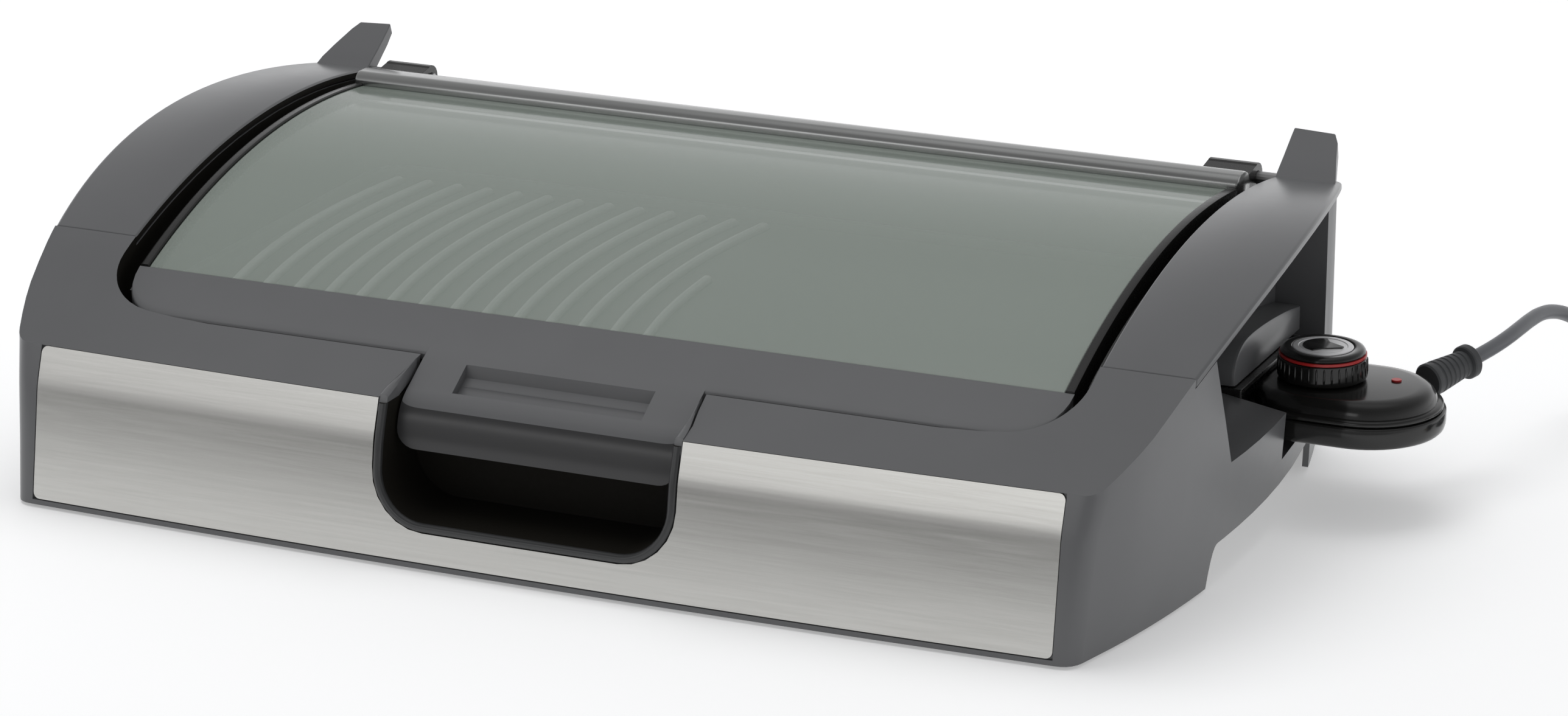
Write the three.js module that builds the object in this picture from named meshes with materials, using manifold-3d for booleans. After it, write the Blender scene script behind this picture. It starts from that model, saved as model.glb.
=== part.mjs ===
// Electric griddle with a hinged glass lid and a plug-in thermostat control, in millimetres, +Z up.
// Design frame: x = 0 is the body's plane of symmetry, y = 0 the foot of the front panel, z = 0 the table.
// The exported group is shifted so that its origin is under the centre of everything but the mains cord.
import * as THREE from 'three';
import { mergeVertices } from 'three/addons/utils/BufferGeometryUtils.js';
import Module from 'manifold-3d';

const wasm = await Module();
wasm.setup();

// ---------------------------------------------------------------- driving dimensions
const gap = 0.3; // clearance between pieces that touch
const wall = 3; // moulded wall thickness
const far = 400; // further than any face of the body

const panelHalf = 250; // half the front panel's width
const panelBow = 4.5; // how far the front bows forward at the middle
const front = [[0, 4], [7.5, 52], [10.4, 64], [14.1, 73.7]]; // front face in side view: y, z from the foot up
const bodyRear = 325;
const bodyHigh = 160; // higher than any part of the body
const bodyFoot = 1.3; // lower edge of the skirt
const skirtRaised = 20; // lower edge between the foot sections
const frontFootEnd = 112;
const rearFootStart = 283;
const footAt = { x: 232, front: 30, rear: 303 };
const boss = { radius: 6, hole: 2.1 };

const sideFoot = { half: 281.5, y: 165, radius: 616 }; // bulged side wall in plan, at the table
const sideLean = { front: -0.005, rear: 0.065, from: -5, to: 50 }; // how the wall leans out as it rises

const lidSeam = 43.4; // y of the joint between deck and lid
const seam = 82.5; // y where the side arches begin
const arch = { y: 238.5, z: -280.5, radius: 418.7, thick: 4, inner: 239.6 };
const deckMiddle = 84.4; // deck height at the lid seam, in the middle
const deckSide = 88.7; // and near the sides
const deckRise = { from: 180, to: 240 }; // x between which it climbs

const well = { half: 73.9, floor: 17.7, radius: 26, thick: 4, depth: 40, high: 120 };
const tongueHalf = 68.5;
const thumbRest = { half: 46.5, section: [[27, 90], [27.2, 71.4], [33, 72.6], [40.6, 77.2], [41.6, 90]] };

const pocket = { half: 239.3, rear: 305, floor: 77.2, shelf: 117 };
const tub = { half: 214, front: 72, rear: 286, floor: 22.1 };
const plate = { half: 225, front: 66, rear: 300, base: 77.5, thick: 6, rim: 88.5, radius: 14 };
// The ribs fill the left half of the plate, bow towards its left end, and are numbered from the middle.
const rib = { count: 14, width: 5, height: 4, front: 78, rear: 286, shortEnd: 197, bow: 36 };
// Two depths where a rib's place is set: x of the first rib and the pitch of the rest.
const ribLow = { y: 105, x: 12.5, pitch: 16.3 };
const ribHigh = { y: 288, x: 9.1, pitch: 16.6 };
const element = { radius: 3.5, left: 185, right: 160, front: 105, bend: 22 };
const reflector = { half: 205, front: 78, rear: 280, base: 30, top: 40, radius: 10, sheet: 1.2 };
const pan = { base: 20.3, top: 21.8, inset: 5, hole: 2.2 };

const glass = { half: 226.7, y: 238, z: -257.1, radius: 391.5, thick: 4, front: 72.2, rear: 283 };
const lidHalf = 231.5;
const hinge = { y: 317, z: 129, pin: 3, knuckle: 7, from: 204.5, to: 246.5, armFrom: 206, armTo: 230 };
const bumper = { x: 195, y: 55, radius: 4, top: 82.5 };

const control = { y: 250, end: 307, radius: 37, start: 258, base: 37, split: 48, top: 58.3 };
const knobAxis = { x: 286, y: 250 };
const knobSize = { radius: 20.7, base: 59, top: 73.2 };
const contact = { z: 47, spacing: 24, pin: 2.5 };
const nose = { start: 226, half: 34, low: 39.5, high: 56.5 };
const shroud = { from: 219, to: 262, wall: 2.5 };
const lens = { x: 319, y: 258, radius: 2.4 };

const cordRadius = 3.5;
const coil = { x: 428, y: 400, inner: 28, outer: 49, height: 14 };

// ---------------------------------------------------------------- solids
function toSolid(geometry) {
  const bare = geometry.clone();
  bare.deleteAttribute('normal');
  bare.deleteAttribute('uv');
  const merged = mergeVertices(bare, 1e-4);
  return new wasm.Manifold(new wasm.Mesh({
    numProp: 3,
    vertProperties: new Float32Array(merged.attributes.position.array),
    triVerts: new Uint32Array(merged.index.array),
  }));
}

function toGeometry(solid) {
  const mesh = solid.getMesh();
  const geometry = new THREE.BufferGeometry();
  geometry.setAttribute('position', new THREE.BufferAttribute(new Float32Array(mesh.vertProperties), 3));
  geometry.setIndex(new THREE.BufferAttribute(new Uint32Array(mesh.triVerts), 1));
  return geometry;
}

const union = (...solids) => solids.reduce((a, b) => a.add(b));
const cut = (solid, ...others) => others.reduce((a, b) => a.subtract(b), solid);

// A closed skin through outlines of equal point count, one at each station along an axis.
function loft(axis, stations, outlineAt) {
  const place = {
    x: (s, [y, z]) => [s, y, z],
    y: (s, [x, z]) => [x, s, z],
    z: (s, [x, y]) => [x, y, s],
  }[axis];
  const outlines = stations.map((s) => outlineAt(s).map(([u, v]) => new THREE.Vector2(u, v)));
  if (THREE.ShapeUtils.area(outlines[0]) < 0) outlines.forEach((outline) => outline.reverse());
  const count = outlines[0].length;
  const positions = outlines.flatMap((outline, i) => outline.flatMap((p) => place(stations[i], [p.x, p.y])));
  const faces = [];
  for (let s = 0; s + 1 < stations.length; s += 1) {
    for (let i = 0; i < count; i += 1) {
      const a = s * count + i;
      const b = s * count + ((i + 1) % count);
      faces.push([a, b, b + count], [a, b + count, a + count]);
    }
  }
  const last = (stations.length - 1) * count;
  const capOf = (outline) => THREE.ShapeUtils.triangulateShape(outline, []);
  capOf(outlines[0]).forEach(([a, b, c]) => faces.push([c, b, a]));
  capOf(outlines.at(-1)).forEach(([a, b, c]) => faces.push([last + a, last + b, last + c]));
  const turned = axis === 'y' ? faces.map(([a, b, c]) => [c, b, a]) : faces;
  const geometry = new THREE.BufferGeometry();
  geometry.setAttribute('position', new THREE.Float32BufferAttribute(positions, 3));
  geometry.setIndex(turned.flat());
  return toSolid(geometry);
}

const prism = (axis, outline, from, to) => loft(axis, [from, to], () => outline);

function box(x0, x1, y0, y1, z0, z1) {
  return prism('z', [[x0, y0], [x1, y0], [x1, y1], [x0, y1]], z0, z1);
}

// A corner arc from one angle to another, in degrees.
function arc(u, v, radius, from, to, steps = 5) {
  return Array.from({ length: steps + 1 }, (_, i) => {
    const angle = THREE.MathUtils.degToRad(from + ((to - from) * i) / steps);
    return [u + radius * Math.cos(angle), v + radius * Math.sin(angle)];
  });
}

function roundedRectangle(u0, u1, v0, v1, r, rTop = r, steps = 5) {
  return [
    ...arc(u0 + r, v0 + r, r, 180, 270, steps),
    ...arc(u1 - r, v0 + r, r, 270, 360, steps),
    ...arc(u1 - rTop, v1 - rTop, rTop, 0, 90, steps),
    ...arc(u0 + rTop, v1 - rTop, rTop, 90, 180, steps),
  ];
}

// A rod or hole along an axis through (u, v).
function rod(axis, u, v, radius, from, to, sides = 20) {
  const outline = arc(u, v, radius, 0, 360 - 360 / sides, sides - 1);
  return prism(axis, outline, from, to);
}

// A ring of rectangular or free section turned about a vertical axis; points are (radius, z), anticlockwise.
function turned(points, x, y, sides = 32) {
  const closed = [...points, points[0]].map(([r, z]) => new THREE.Vector2(r, z));
  const geometry = new THREE.LatheGeometry(closed, sides);
  geometry.rotateX(Math.PI / 2);
  geometry.translate(x, y, 0);
  const solid = toSolid(geometry);
  return solid.volume() < 0 ? toSolid(flipped(geometry)) : solid;
}

function flipped(geometry) {
  const copy = geometry.clone();
  const index = Array.from(copy.index.array);
  for (let i = 0; i < index.length; i += 3) [index[i], index[i + 2]] = [index[i + 2], index[i]];
  copy.setIndex(index);
  return copy;
}

// A round tube along a curve.
function tube(points, radius, sides, steps) {
  const ring = arc(0, 0, radius, 0, 360 - 360 / sides, sides - 1);
  const section = new THREE.Shape(ring.map(([u, v]) => new THREE.Vector2(u, v)));
  const path = new THREE.CatmullRomCurve3(points.map((p) => new THREE.Vector3(...p)), false, 'centripetal');
  return new THREE.ExtrudeGeometry(section, { steps, extrudePath: path, curveSegments: 1 });
}

// A round taper from one point to another; stops are [distance along, radius].
function taper(from, to, stops, sides = 20) {
  const start = new THREE.Vector3(...from);
  const direction = new THREE.Vector3(...to).sub(start).normalize();
  const profile = [[stops[0][0], 0], ...stops, [stops.at(-1)[0], 0]].map(([d, r]) => new THREE.Vector2(r, d));
  const geometry = new THREE.LatheGeometry(profile, sides);
  geometry.applyQuaternion(new THREE.Quaternion().setFromUnitVectors(new THREE.Vector3(0, 1, 0), direction));
  geometry.translate(start.x, start.y, start.z);
  const solid = toSolid(geometry);
  return solid.volume() < 0 ? toSolid(flipped(geometry)) : solid;
}

// ---------------------------------------------------------------- body surfaces
const archTop = (y) => arch.z + Math.sqrt(arch.radius ** 2 - (y - arch.y) ** 2);
const glassTop = (y, lower = 0) => glass.z + Math.sqrt((glass.radius - lower) ** 2 - (y - glass.y) ** 2);
const bow = (x) => panelBow * Math.max(0, 1 - (x / panelHalf) ** 2);

// Half width of the body at a depth y and height z.
function halfWidth(y, z) {
  const foot = sideFoot.half - sideFoot.radius + Math.sqrt(sideFoot.radius ** 2 - (y - sideFoot.y) ** 2);
  const t = THREE.MathUtils.smoothstep(y, sideLean.from, sideLean.to);
  return foot + z * THREE.MathUtils.lerp(sideLean.front, sideLean.rear, t);
}

// Side view of the body at x, offset inwards by inset; an inset one is open below.
function profile(x, inset = 0, raised = true) {
  const b = bow(x);
  const climb = THREE.MathUtils.smoothstep(Math.abs(x), deckRise.from, deckRise.to);
  const rise = THREE.MathUtils.lerp(deckMiddle, deckSide, climb);
  const foot = inset > 0 ? -10 : bodyFoot;
  const under = [
    [rearFootStart, foot], [rearFootStart - 2, skirtRaised - 6], [rearFootStart - 8, skirtRaised],
    [frontFootEnd + 10, skirtRaised], [frontFootEnd + 3, skirtRaised - 4], [frontFootEnd, foot],
  ];
  return [
    [front[0][0] - b + inset, foot],
    ...front.map(([y, z], i) => [y - b + inset, i === front.length - 1 ? z - inset : z]),
    [lidSeam, rise - inset * 1.1],
    ...[seam, ...archYs, bodyRear - inset].map((y) => [y, archTop(y) - inset]),
    [bodyRear - inset, foot],
    ...(raised && inset === 0 ? under : []),
  ];
}

// Stations of the body's lofts across x, along y, and along the curve of the arches.
const bodyXs = [-300, -250, -235, -215, -190, -150, -100, -50, 0, 50, 100, 150, 190, 215, 235, 250, 300];
const bodyYs = [-20, 10, 32, 54, 76, 98, 125, 155, 185, 215, 245, 275, 300, bodyRear + 5];
const archYs = [110, 140, 170, 205, 240, 275, 300];

// The body's outer volume, or the same shape inset by a wall.
function bodyVolume(inset = 0) {
  const sides = loft('y', bodyYs, (y) => {
    const low = halfWidth(y, 0) - inset;
    const high = halfWidth(y, bodyHigh) - inset;
    const base = inset ? -20 : 0;
    return [[-low, base], [low, base], [high, bodyHigh], [-high, bodyHigh]];
  });
  return sides.intersect(loft('x', bodyXs, (x) => profile(x, inset)));
}

const outer = bodyVolume();
const inner = bodyVolume(wall);

// Everything above the arch surface lowered by a depth, behind the seam.
function aboveArch(depth, from) {
  const to = bodyRear + 5;
  const ys = [from, ...archYs, to];
  return prism('x', [...ys.map((y) => [y, archTop(y) - depth]), [to, far], [from, far]], -far, far);
}

// The U-shaped outline of the finger well, grown by an amount.
function wellOutline(grow) {
  const half = well.half + grow;
  const r = well.radius + grow;
  const floor = well.floor - grow;
  return [
    ...arc(-half + r, floor + r, r, 180, 270, 6),
    ...arc(half - r, floor + r, r, 270, 360, 6),
    [half, well.high], [-half, well.high],
  ];
}

// Front of the body down to a depth behind its face, between two widths.
function frontSkin(from, to, half, zLow, zHigh) {
  const xs = Array.from({ length: 17 }, (_, i) => -half + (i * half) / 8);
  const points = [[0, zLow], ...front.slice(1, 3), [front[3][0] - 0.4 * (front[3][1] - zHigh), zHigh]];
  return loft('x', xs, (x) => [
    ...points.map(([y, z]) => [y - bow(x) + from, z]),
    ...points.toReversed().map(([y, z]) => [y - bow(x) + to, z]),
  ]);
}

// ---------------------------------------------------------------- control recess in the right side wall
const recess = {
  outerX: 300,
  innerX: 244,
  edge: [[92, 112], [122, 53], [313, 50], [313, 140], [120, 140]],
  back: [[126, 112], [146, 62], [306, 60], [306, 140], [140, 140]],
};
const opening = { front: 205.7, rear: 294.3, low: 31.7, high: 62.3 };

function recessVolume(grow) {
  const sign = [[-1, 0.6], [-1, -1], [1, -1], [1, 1], [-1, 1]];
  return loft('x', [recess.innerX - grow, recess.outerX], (x) => {
    const t = (recess.outerX - x) / (recess.outerX - recess.innerX);
    return recess.edge.map(([y, z], i) => {
      const [backY, backZ] = recess.back[i];
      return [
        THREE.MathUtils.lerp(y, backY, t) + sign[i][0] * grow,
        THREE.MathUtils.lerp(z, backZ, t) + sign[i][1] * grow,
      ];
    });
  });
}

// A raised arch on the recess's back wall, over the socket.
function socketArch() {
  const outline = [[208, 63], [303, 63], [303, 76], ...arc(262, 38, 44, 40, 125, 6), [208, 76]];
  return prism('x', outline, recess.innerX - 1, recess.innerX + 14);
}

// ---------------------------------------------------------------- housing and fixed covers
const footPlaces = [
  ['front_left', -footAt.x, footAt.front],
  ['front_right', footAt.x, footAt.front],
  ['rear_left', -footAt.x, footAt.rear],
  ['rear_right', footAt.x, footAt.rear],
];
const footHoles = (radius, to) => footPlaces.map(([, x, y]) => rod('z', x, y, radius, 0, to, 12));
const hingeBore = () => rod('x', hinge.y, hinge.z, hinge.pin + gap, -hinge.to - 1, hinge.to + 1, 16);

function housing() {
  const tubSide = tub.half + wall;
  const pocketSide = pocket.half + wall;
  const pocketBase = pocket.floor - wall;
  const tubWalls = union(
    box(-tubSide, tubSide, tub.front - wall, tub.rear + wall, tub.floor, pocket.floor),
    box(-pocketSide, pocketSide, lidSeam - wall, pocket.rear + wall, pocketBase, far),
    box(-pocketSide, pocketSide, pocket.rear, far, pocket.shelf - wall, far),
  );
  const throat = prism('y', wellOutline(wall), -20, well.depth + wall);
  const bosses = footPlaces.map(([, x, y]) => rod('z', x, y, boss.radius, tub.floor, well.high, 12));
  const socketBlock = box(
    tub.half, recess.innerX + 30,
    opening.front - wall, opening.rear + wall,
    opening.low - wall, opening.high + wall,
  );
  const added = union(tubWalls, throat, ...bosses, socketBlock, recessVolume(wall)).intersect(outer)
    .intersect(box(-far, far, -50, far, tub.floor, far));
  const skirtOfThroat = throat.intersect(outer);
  const pocketCut = prism('z', roundedRectangle(
    -pocket.half, pocket.half, lidSeam, pocket.rear, 28, 6, 6,
  ), pocket.floor, far);
  const tubCut = box(-tub.half, tub.half, tub.front, tub.rear, 0, far);
  const rearLow = box(-pocket.half, pocket.half, pocket.rear - 10, bodyRear + 10, pocket.shelf, far);
  const tongueCut = box(-tongueHalf - 1.4, tongueHalf + 1.4, -30, lidSeam + 5, 46, far);
  const wellCut = prism('y', wellOutline(gap), -30, well.depth + gap)
    .intersect(union(box(-100, 100, -40, 15.8, 0, far), loft('x', bodyXs, (x) => profile(x, wall + 0.2))));
  const terminalWindow = box(tub.half - 5, tub.half + 10, 226, 274, 38, 56);
  return cut(
    union(outer.subtract(inner), added, skirtOfThroat, socketArch()),
    aboveArch(arch.thick + gap, seam - gap).intersect(union(
      box(arch.inner - 5, far, 0, far, 0, far), box(-far, -arch.inner + 5, 0, far, 0, far),
    )),
    pocketCut, tubCut, rearLow, tongueCut, wellCut, terminalWindow, ...footHoles(boss.hole, 36), hingeBore(),
    recessVolume(0).subtract(socketArch()),
    box(tub.half + wall + 1.7, far, opening.front, opening.rear, opening.low, opening.high),
    frontSkin(-20, 1.6, panelHalf + 0.4, front[0][1] - 0.4, 74.2),
  );
}

function frontPanel() {
  const sheet = frontSkin(0.2, 1.3, panelHalf, front[0][1], 73.6);
  return sheet.subtract(prism('y', wellOutline(gap + 0.2), -30, 60));
}

function fingerWell() {
  const block = prism('y', wellOutline(0), -30, well.depth);
  const hollow = prism('y', wellOutline(-well.thick), -40, well.depth - well.thick);
  const proud = loft('x', bodyXs, (x) => profile(x, 0, false).map(([y, z]) => [y - 1, z]));
  const limits = union(
    proud.intersect(box(-100, 100, -40, 15.5, 0, 72)),
    loft('x', bodyXs, (x) => profile(x, wall + 0.5)).intersect(union(
      box(-100, 100, 10, 30, 0, 71), box(-100, 100, 29, far, 0, 64),
    )),
  );
  return block.intersect(limits).subtract(hollow);
}

// The fin at the rear of an arch: a tapering plate that rises backwards.
function finRows() {
  const root = [[239.9, 306, 129.2], [269.5, 306, 129], [269.5, 311, 130.6], [239.9, 311, 131.4]];
  const lift = [[239.9, 322, 128.5], [267, 322, 127.5], [265.4, 326, 139], [239.9, 325, 139.5]];
  const tip = [[240.2, 341, 143.5], [259, 343, 142], [259.3, 342.8, 147], [240.2, 339, 149]];
  return [root, lift, tip];
}

function skinned(rows, side) {
  const count = rows[0].length;
  const positions = rows.flat().flatMap(([x, y, z]) => [side * x, y, z]);
  const faces = [];
  for (let s = 0; s + 1 < rows.length; s += 1) {
    for (let i = 0; i < count; i += 1) {
      const a = s * count + i;
      const b = s * count + ((i + 1) % count);
      faces.push(a, b, b + count, a, b + count, a + count);
    }
  }
  const last = (rows.length - 1) * count;
  for (let i = 1; i + 1 < count; i += 1) faces.push(i + 1, i, 0, last, last + i, last + i + 1);
  const geometry = new THREE.BufferGeometry();
  geometry.setAttribute('position', new THREE.Float32BufferAttribute(positions, 3));
  geometry.setIndex(faces);
  const solid = toSolid(geometry);
  return solid.volume() < 0 ? toSolid(flipped(geometry)) : solid;
}

function sideArch(side) {
  const start = seam + gap / 2;
  const x = side > 0 ? [arch.inner, far] : [-far, -arch.inner];
  const cover = outer.intersect(aboveArch(arch.thick, start)).intersect(box(...x, start, far, 0, far));
  return cut(cover.add(skinned(finRows(), side)), hingeBore());
}

function basePan() {
  const ys = [6, 30, 60, 90, 125, 165, 205, 245, 285, 320];
  const outline = ys.map((y) => [halfWidth(y, 20) - pan.inset, y]);
  const mirrored = outline.toReversed().map(([x, y]) => [-x, y]);
  const sheet = prism('z', [...outline, ...mirrored], pan.base, pan.top);
  const wellHole = prism('y', wellOutline(wall + gap + 0.2), -30, well.depth + wall + gap);
  return cut(sheet, ...footHoles(pan.hole, 50), wellHole);
}

function foot(x, y) {
  return turned([[2.2, 8], [2.2, 20], [9, 20], [11, 1.5], [10, 0], [5.2, 0], [5.2, 8]], x, y, 20);
}

function footScrew(x, y) {
  const head = [[0.01, 5.5], [4, 5.5], [4.6, 6.3], [4.6, 7.7]];
  const shank = [[1.75, 7.7], [1.75, 34], [0.01, 34.6]];
  return turned([...head, ...shank], x, y, 12);
}

// ---------------------------------------------------------------- cooking plate and heater
// Where a rib's centre line is at a depth: it runs from front to rear, drawn to the left in between.
function ribX(i, y) {
  const t = (y - ribLow.y) / (ribHigh.y - ribLow.y);
  const straight = THREE.MathUtils.lerp(ribLow.x - ribLow.pitch * i, ribHigh.x - ribHigh.pitch * i, t);
  return straight - rib.bow * t * (1 - t);
}

function grillPlate() {
  const top = plate.base + plate.thick;
  const outline = (inset) => roundedRectangle(
    -plate.half + inset, plate.half - inset,
    plate.front + inset, plate.rear - inset,
    plate.radius - inset,
  );
  const slab = prism('z', outline(0), plate.base, plate.rim).subtract(prism('z', outline(5), top, far));
  const ribs = Array.from({ length: rib.count }, (_, i) => {
    const end = i === 0 ? rib.shortEnd : rib.rear;
    const rows = Array.from({ length: 10 }, (_, k) => THREE.MathUtils.lerp(rib.front, end, k / 9));
    const half = rib.width / 2;
    const crest = top + rib.height;
    return loft('y', rows, (y) => {
      const x = ribX(i, y);
      return [[x - half, top - 1], [x + half, top - 1], [x + half * 0.5, crest], [x - half * 0.5, crest]];
    });
  });
  return union(slab, ...ribs);
}

function heatingElement() {
  const z = plate.base - gap - 4.2;
  const low = contact.z;
  const y0 = control.y - contact.spacing / 2;
  const y1 = control.y + contact.spacing / 2;
  const { left, right, front: y2, bend } = element;
  const end = 205;
  return tube([
    [end, y1, low], [190, y1, low], [176, y1, low + 8], [162, y1, z - 2], [140, y1, z], [0, y1, z],
    [20 - left, y1, z], [-left, y1 - bend, z], [-left, y2 + bend, z], [bend - left, y2, z], [0, y2, z],
    [right - bend, y2, z], [right, y2 + bend, z], [right, 200, z], [166, y0 - 14, z - 4],
    [178, y0, low + 8], [190, y0, low], [end, y0, low],
  ], element.radius, 8, 90);
}

function reflectorPan() {
  const { half, front: y0, rear: y1, base, top, radius, sheet } = reflector;
  const outside = roundedRectangle(-half, half, y0, y1, radius);
  const inside = roundedRectangle(-half + sheet, half - sheet, y0 + sheet, y1 - sheet, radius - 1);
  return prism('z', outside, base, top).subtract(prism('z', inside, base + sheet, 50));
}

const terminalPin = (y) => rod('x', y, contact.z, contact.pin, 205.3, 244, 14);
const probeBlock = () => box(150, 200, 244, 256, 40, plate.base - gap)
  .subtract(rod('x', control.y, contact.z, 3.4, 140, 210, 14));

function socketShroud() {
  const inside = gap + shroud.wall;
  const shell = cut(
    box(
      shroud.from, shroud.to,
      opening.front + gap, opening.rear - gap,
      opening.low + gap, opening.high - gap,
    ),
    box(
      shroud.from + shroud.wall, far,
      opening.front + inside, opening.rear - inside,
      opening.low + inside, opening.high - inside,
    ),
  );
  const holeYs = [-1, 1, 0].map((s) => control.y + (s * contact.spacing) / 2);
  return cut(shell, ...holeYs.map((y) => rod('x', y, contact.z, 4, 200, 230, 14)));
}

// ---------------------------------------------------------------- lid
const lidPlan = () => prism('z', roundedRectangle(-lidHalf, lidHalf, lidSeam + 1.3, 320, 25, 5, 6), 0, far);

function lidFrontFrame() {
  const y0 = lidSeam + 1.3;
  const glassEdge = glassTop(glass.front);
  const strip = loft('x', [-lidHalf, -200, -100, 0, 100, 200, lidHalf], () => [
    [y0, deckMiddle + 0.4], [58, 90.4], [glass.front - gap, glassEdge],
    [glass.front - gap, glassEdge - 4.6], [58, 87], [y0, deckMiddle - 3.4],
  ]).intersect(lidPlan());
  const lipOuter = [
    [y0 + 1, deckMiddle + 0.6], [38, 80.8], [30, 75.9], [24.5, 72.6], [20.5, 69.2], [17.5, 64.5],
    [15.8, 59], [15, 54], [15, 49.7],
  ];
  const lipInner = [[18.6, 49.7], [19, 55], [20.6, 60.5], [24.5, 65], [30, 67.5], [y0 + 1, 75.2]];
  const tongue = prism('x', [...lipOuter, ...lipInner], -tongueHalf, tongueHalf);
  return cut(union(strip, tongue), prism('x', thumbRest.section, -thumbRest.half, thumbRest.half));
}

// Side view of a curved strip along the glass, from above its top face to a depth below it.
function glassSection(steps, above, below) {
  const length = glass.rear - glass.front;
  const ys = Array.from({ length: steps + 1 }, (_, i) => glass.front + (length * i) / steps);
  const upper = ys.map((y) => [y, glassTop(y) + above]);
  const lower = ys.toReversed().map((y) => [y, glassTop(y, below)]);
  return [...upper, ...lower];
}

const lidGlass = () => prism('x', glassSection(16, 0, glass.thick), -glass.half, glass.half);

// Two x values, mirrored for the left side, in rising order.
const across = (side, x0, x1) => [side * x0, side * x1].sort((a, b) => a - b);

function lidSideFrame(side) {
  return prism('x', glassSection(14, 1, 9), ...across(side, glass.half + gap, lidHalf));
}

function lidRearRail() {
  const y0 = glass.rear + gap;
  const outline = [
    [y0, 125.5], [y0, 135], [y0 + 3, 138], [y0 + 12, 138.2], [y0 + 17, 136], [y0 + 19, 131],
    [y0 + 18, 126], [y0 + 13, 123.5], [y0 + 4, 123.5],
  ];
  return prism('x', outline, -lidHalf, lidHalf);
}

function hingeArm(side) {
  const x = across(side, hinge.armFrom, hinge.armTo);
  const link = [[302.7, 125], [302.7, 133.5], [hinge.y - 3, 135.4], [hinge.y, 126]];
  return cut(
    union(rod('x', hinge.y, hinge.z, hinge.knuckle, ...x, 18), prism('x', link, ...x)),
    rod('x', hinge.y, hinge.z, hinge.pin + gap, -far, far, 16),
  );
}

function hingePin(side) {
  return rod('x', hinge.y, hinge.z, hinge.pin, ...across(side, hinge.from, hinge.to), 14);
}

function lidBumper(side) {
  return rod('z', side * bumper.x, bumper.y, bumper.radius, pocket.floor + 0.4, bumper.top, 12);
}


// ---------------------------------------------------------------- plug-in control
// Plan outline of the control's shells: square towards the socket, round at the free end.
function controlOutline(inset) {
  const r = control.radius - inset;
  const x0 = control.start + inset;
  return [
    [x0 + 8, control.y - r], ...arc(control.end, control.y, r, -90, 90, 12), [x0 + 8, control.y + r],
    [x0, control.y + r - 10], [x0, control.y - r + 10],
  ];
}

function controlLowerShell() {
  const tray = prism('z', controlOutline(0), control.base, control.split);
  return tray.subtract(prism('z', controlOutline(2.6), control.base + 2.6, far));
}

function controlUpperShell() {
  const cap = union(
    prism('z', controlOutline(1.2), control.split + gap, control.split + 3),
    loft('z', [control.split + 2.9, control.top - 2, control.top], (z) => {
      const t = (z - control.split) / (control.top - control.split);
      return controlOutline(4 + 3 * t * t);
    }),
  );
  return cut(
    cap,
    prism('z', controlOutline(8.6), 0, control.top - 2.4),
    rod('z', knobAxis.x, knobAxis.y, 4.3, 0, far, 16),
    rod('z', lens.x, lens.y, lens.radius + gap, 0, far, 14),
  );
}

function controlNose() {
  const block = box(
    nose.start, control.start - gap,
    control.y - nose.half, control.y + nose.half,
    nose.low, nose.high,
  );
  const boreYs = [-1, 1].map((s) => control.y + (s * contact.spacing) / 2);
  const bores = boreYs.map((y) => rod('x', y, contact.z, 3.9, 220, 252, 14));
  return cut(block, ...bores, rod('x', control.y, contact.z, 3.3, 220, 300, 14));
}

const contactSleeve = (y) => rod('x', y, contact.z, 3.6, nose.start + 1, 251.5, 14)
  .subtract(rod('x', y, contact.z, 2.8, 220, 249, 14));
const temperatureProbe = () => rod('x', control.y, contact.z, 3, 152, control.start - gap, 14);
const switchUnit = () => box(266, 301, 232, 268, 40, 47.4);
const indicatorLens = () => rod('z', lens.x, lens.y, lens.radius, 54, control.top + 0.8, 14);

function knob() {
  const { radius: r, base, top } = knobSize;
  const grip = [[4.1, base], [r - 0.6, base], [r, base + 1], [r - 0.5, 68.9]];
  const groove = [[18.6, 68.9], [18.6, 71.3], [r - 1, 71.3]];
  const crown = [[r - 2, top - 0.3], [r - 3, top], [14.3, top], [14.3, top - 1.4], [0.01, top - 1.4]];
  const bore = [[0.01, 67], [4.1, 67]];
  return turned([...grip, ...groove, ...crown, ...bore], knobAxis.x, knobAxis.y, 36);
}

const knobRingSection = [[18.9, 69.2], [20.3, 69.2], [20.1, 71], [18.9, 71]];
const knobRing = () => turned(knobRingSection, knobAxis.x, knobAxis.y, 36);
const knobDisc = () => rod('z', knobAxis.x, knobAxis.y, 14, knobSize.top - 1.1, knobSize.top + 0.2, 30);
const knobShaft = () => rod('z', knobAxis.x, knobAxis.y, 3.8, 48, 66.7, 14);

// ---------------------------------------------------------------- mains cord
const reliefFrom = [326, 283.8, 51.2];
const reliefTo = [338, 309, 55];
// From the strain relief, over and down behind the edge of the table space, into the coil's outer turn.
const cordRoute = [
  [339.1, 311.3, 55.4], [341.9, 318, 56.4], [345.2, 328, 57.6], [348, 340, 58.8], [349.8, 353, 59.6],
  [351, 366, 59.8], [352.4, 379, 59.2], [354.6, 391.5, 57], [358, 403.5, 52.8], [362.6, 414.6, 46.4],
  [368.6, 424.6, 38], [376, 433, 28.6], [384.8, 439.6, 19.4], [394.8, 444, 11.6], [401.8, 445.7, 7.8],
];
const tailRoute = [[473.5, 374.2, 13.2], [473.5, 368, 15], [473.5, 361, 17], [473.5, 353.4, 18]];
const plugAxis = { x: 473.5, z: 18 };
const plugRear = 352; // where the cord enters the plug

function strainRelief() {
  const stops = [[0, 8.2], [12, 7.4], [25, 6.2], [25.2, 8.2], [29.6, 8.2], [30, 6]];
  return taper(reliefFrom, reliefTo, stops, 16);
}

// A ring around the coil's axis with a rectangular section.
function coilSolid(inside, outside, low, high) {
  return turned([[inside, low], [outside, low], [outside, high], [inside, high]], coil.x, coil.y, 40);
}

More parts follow.
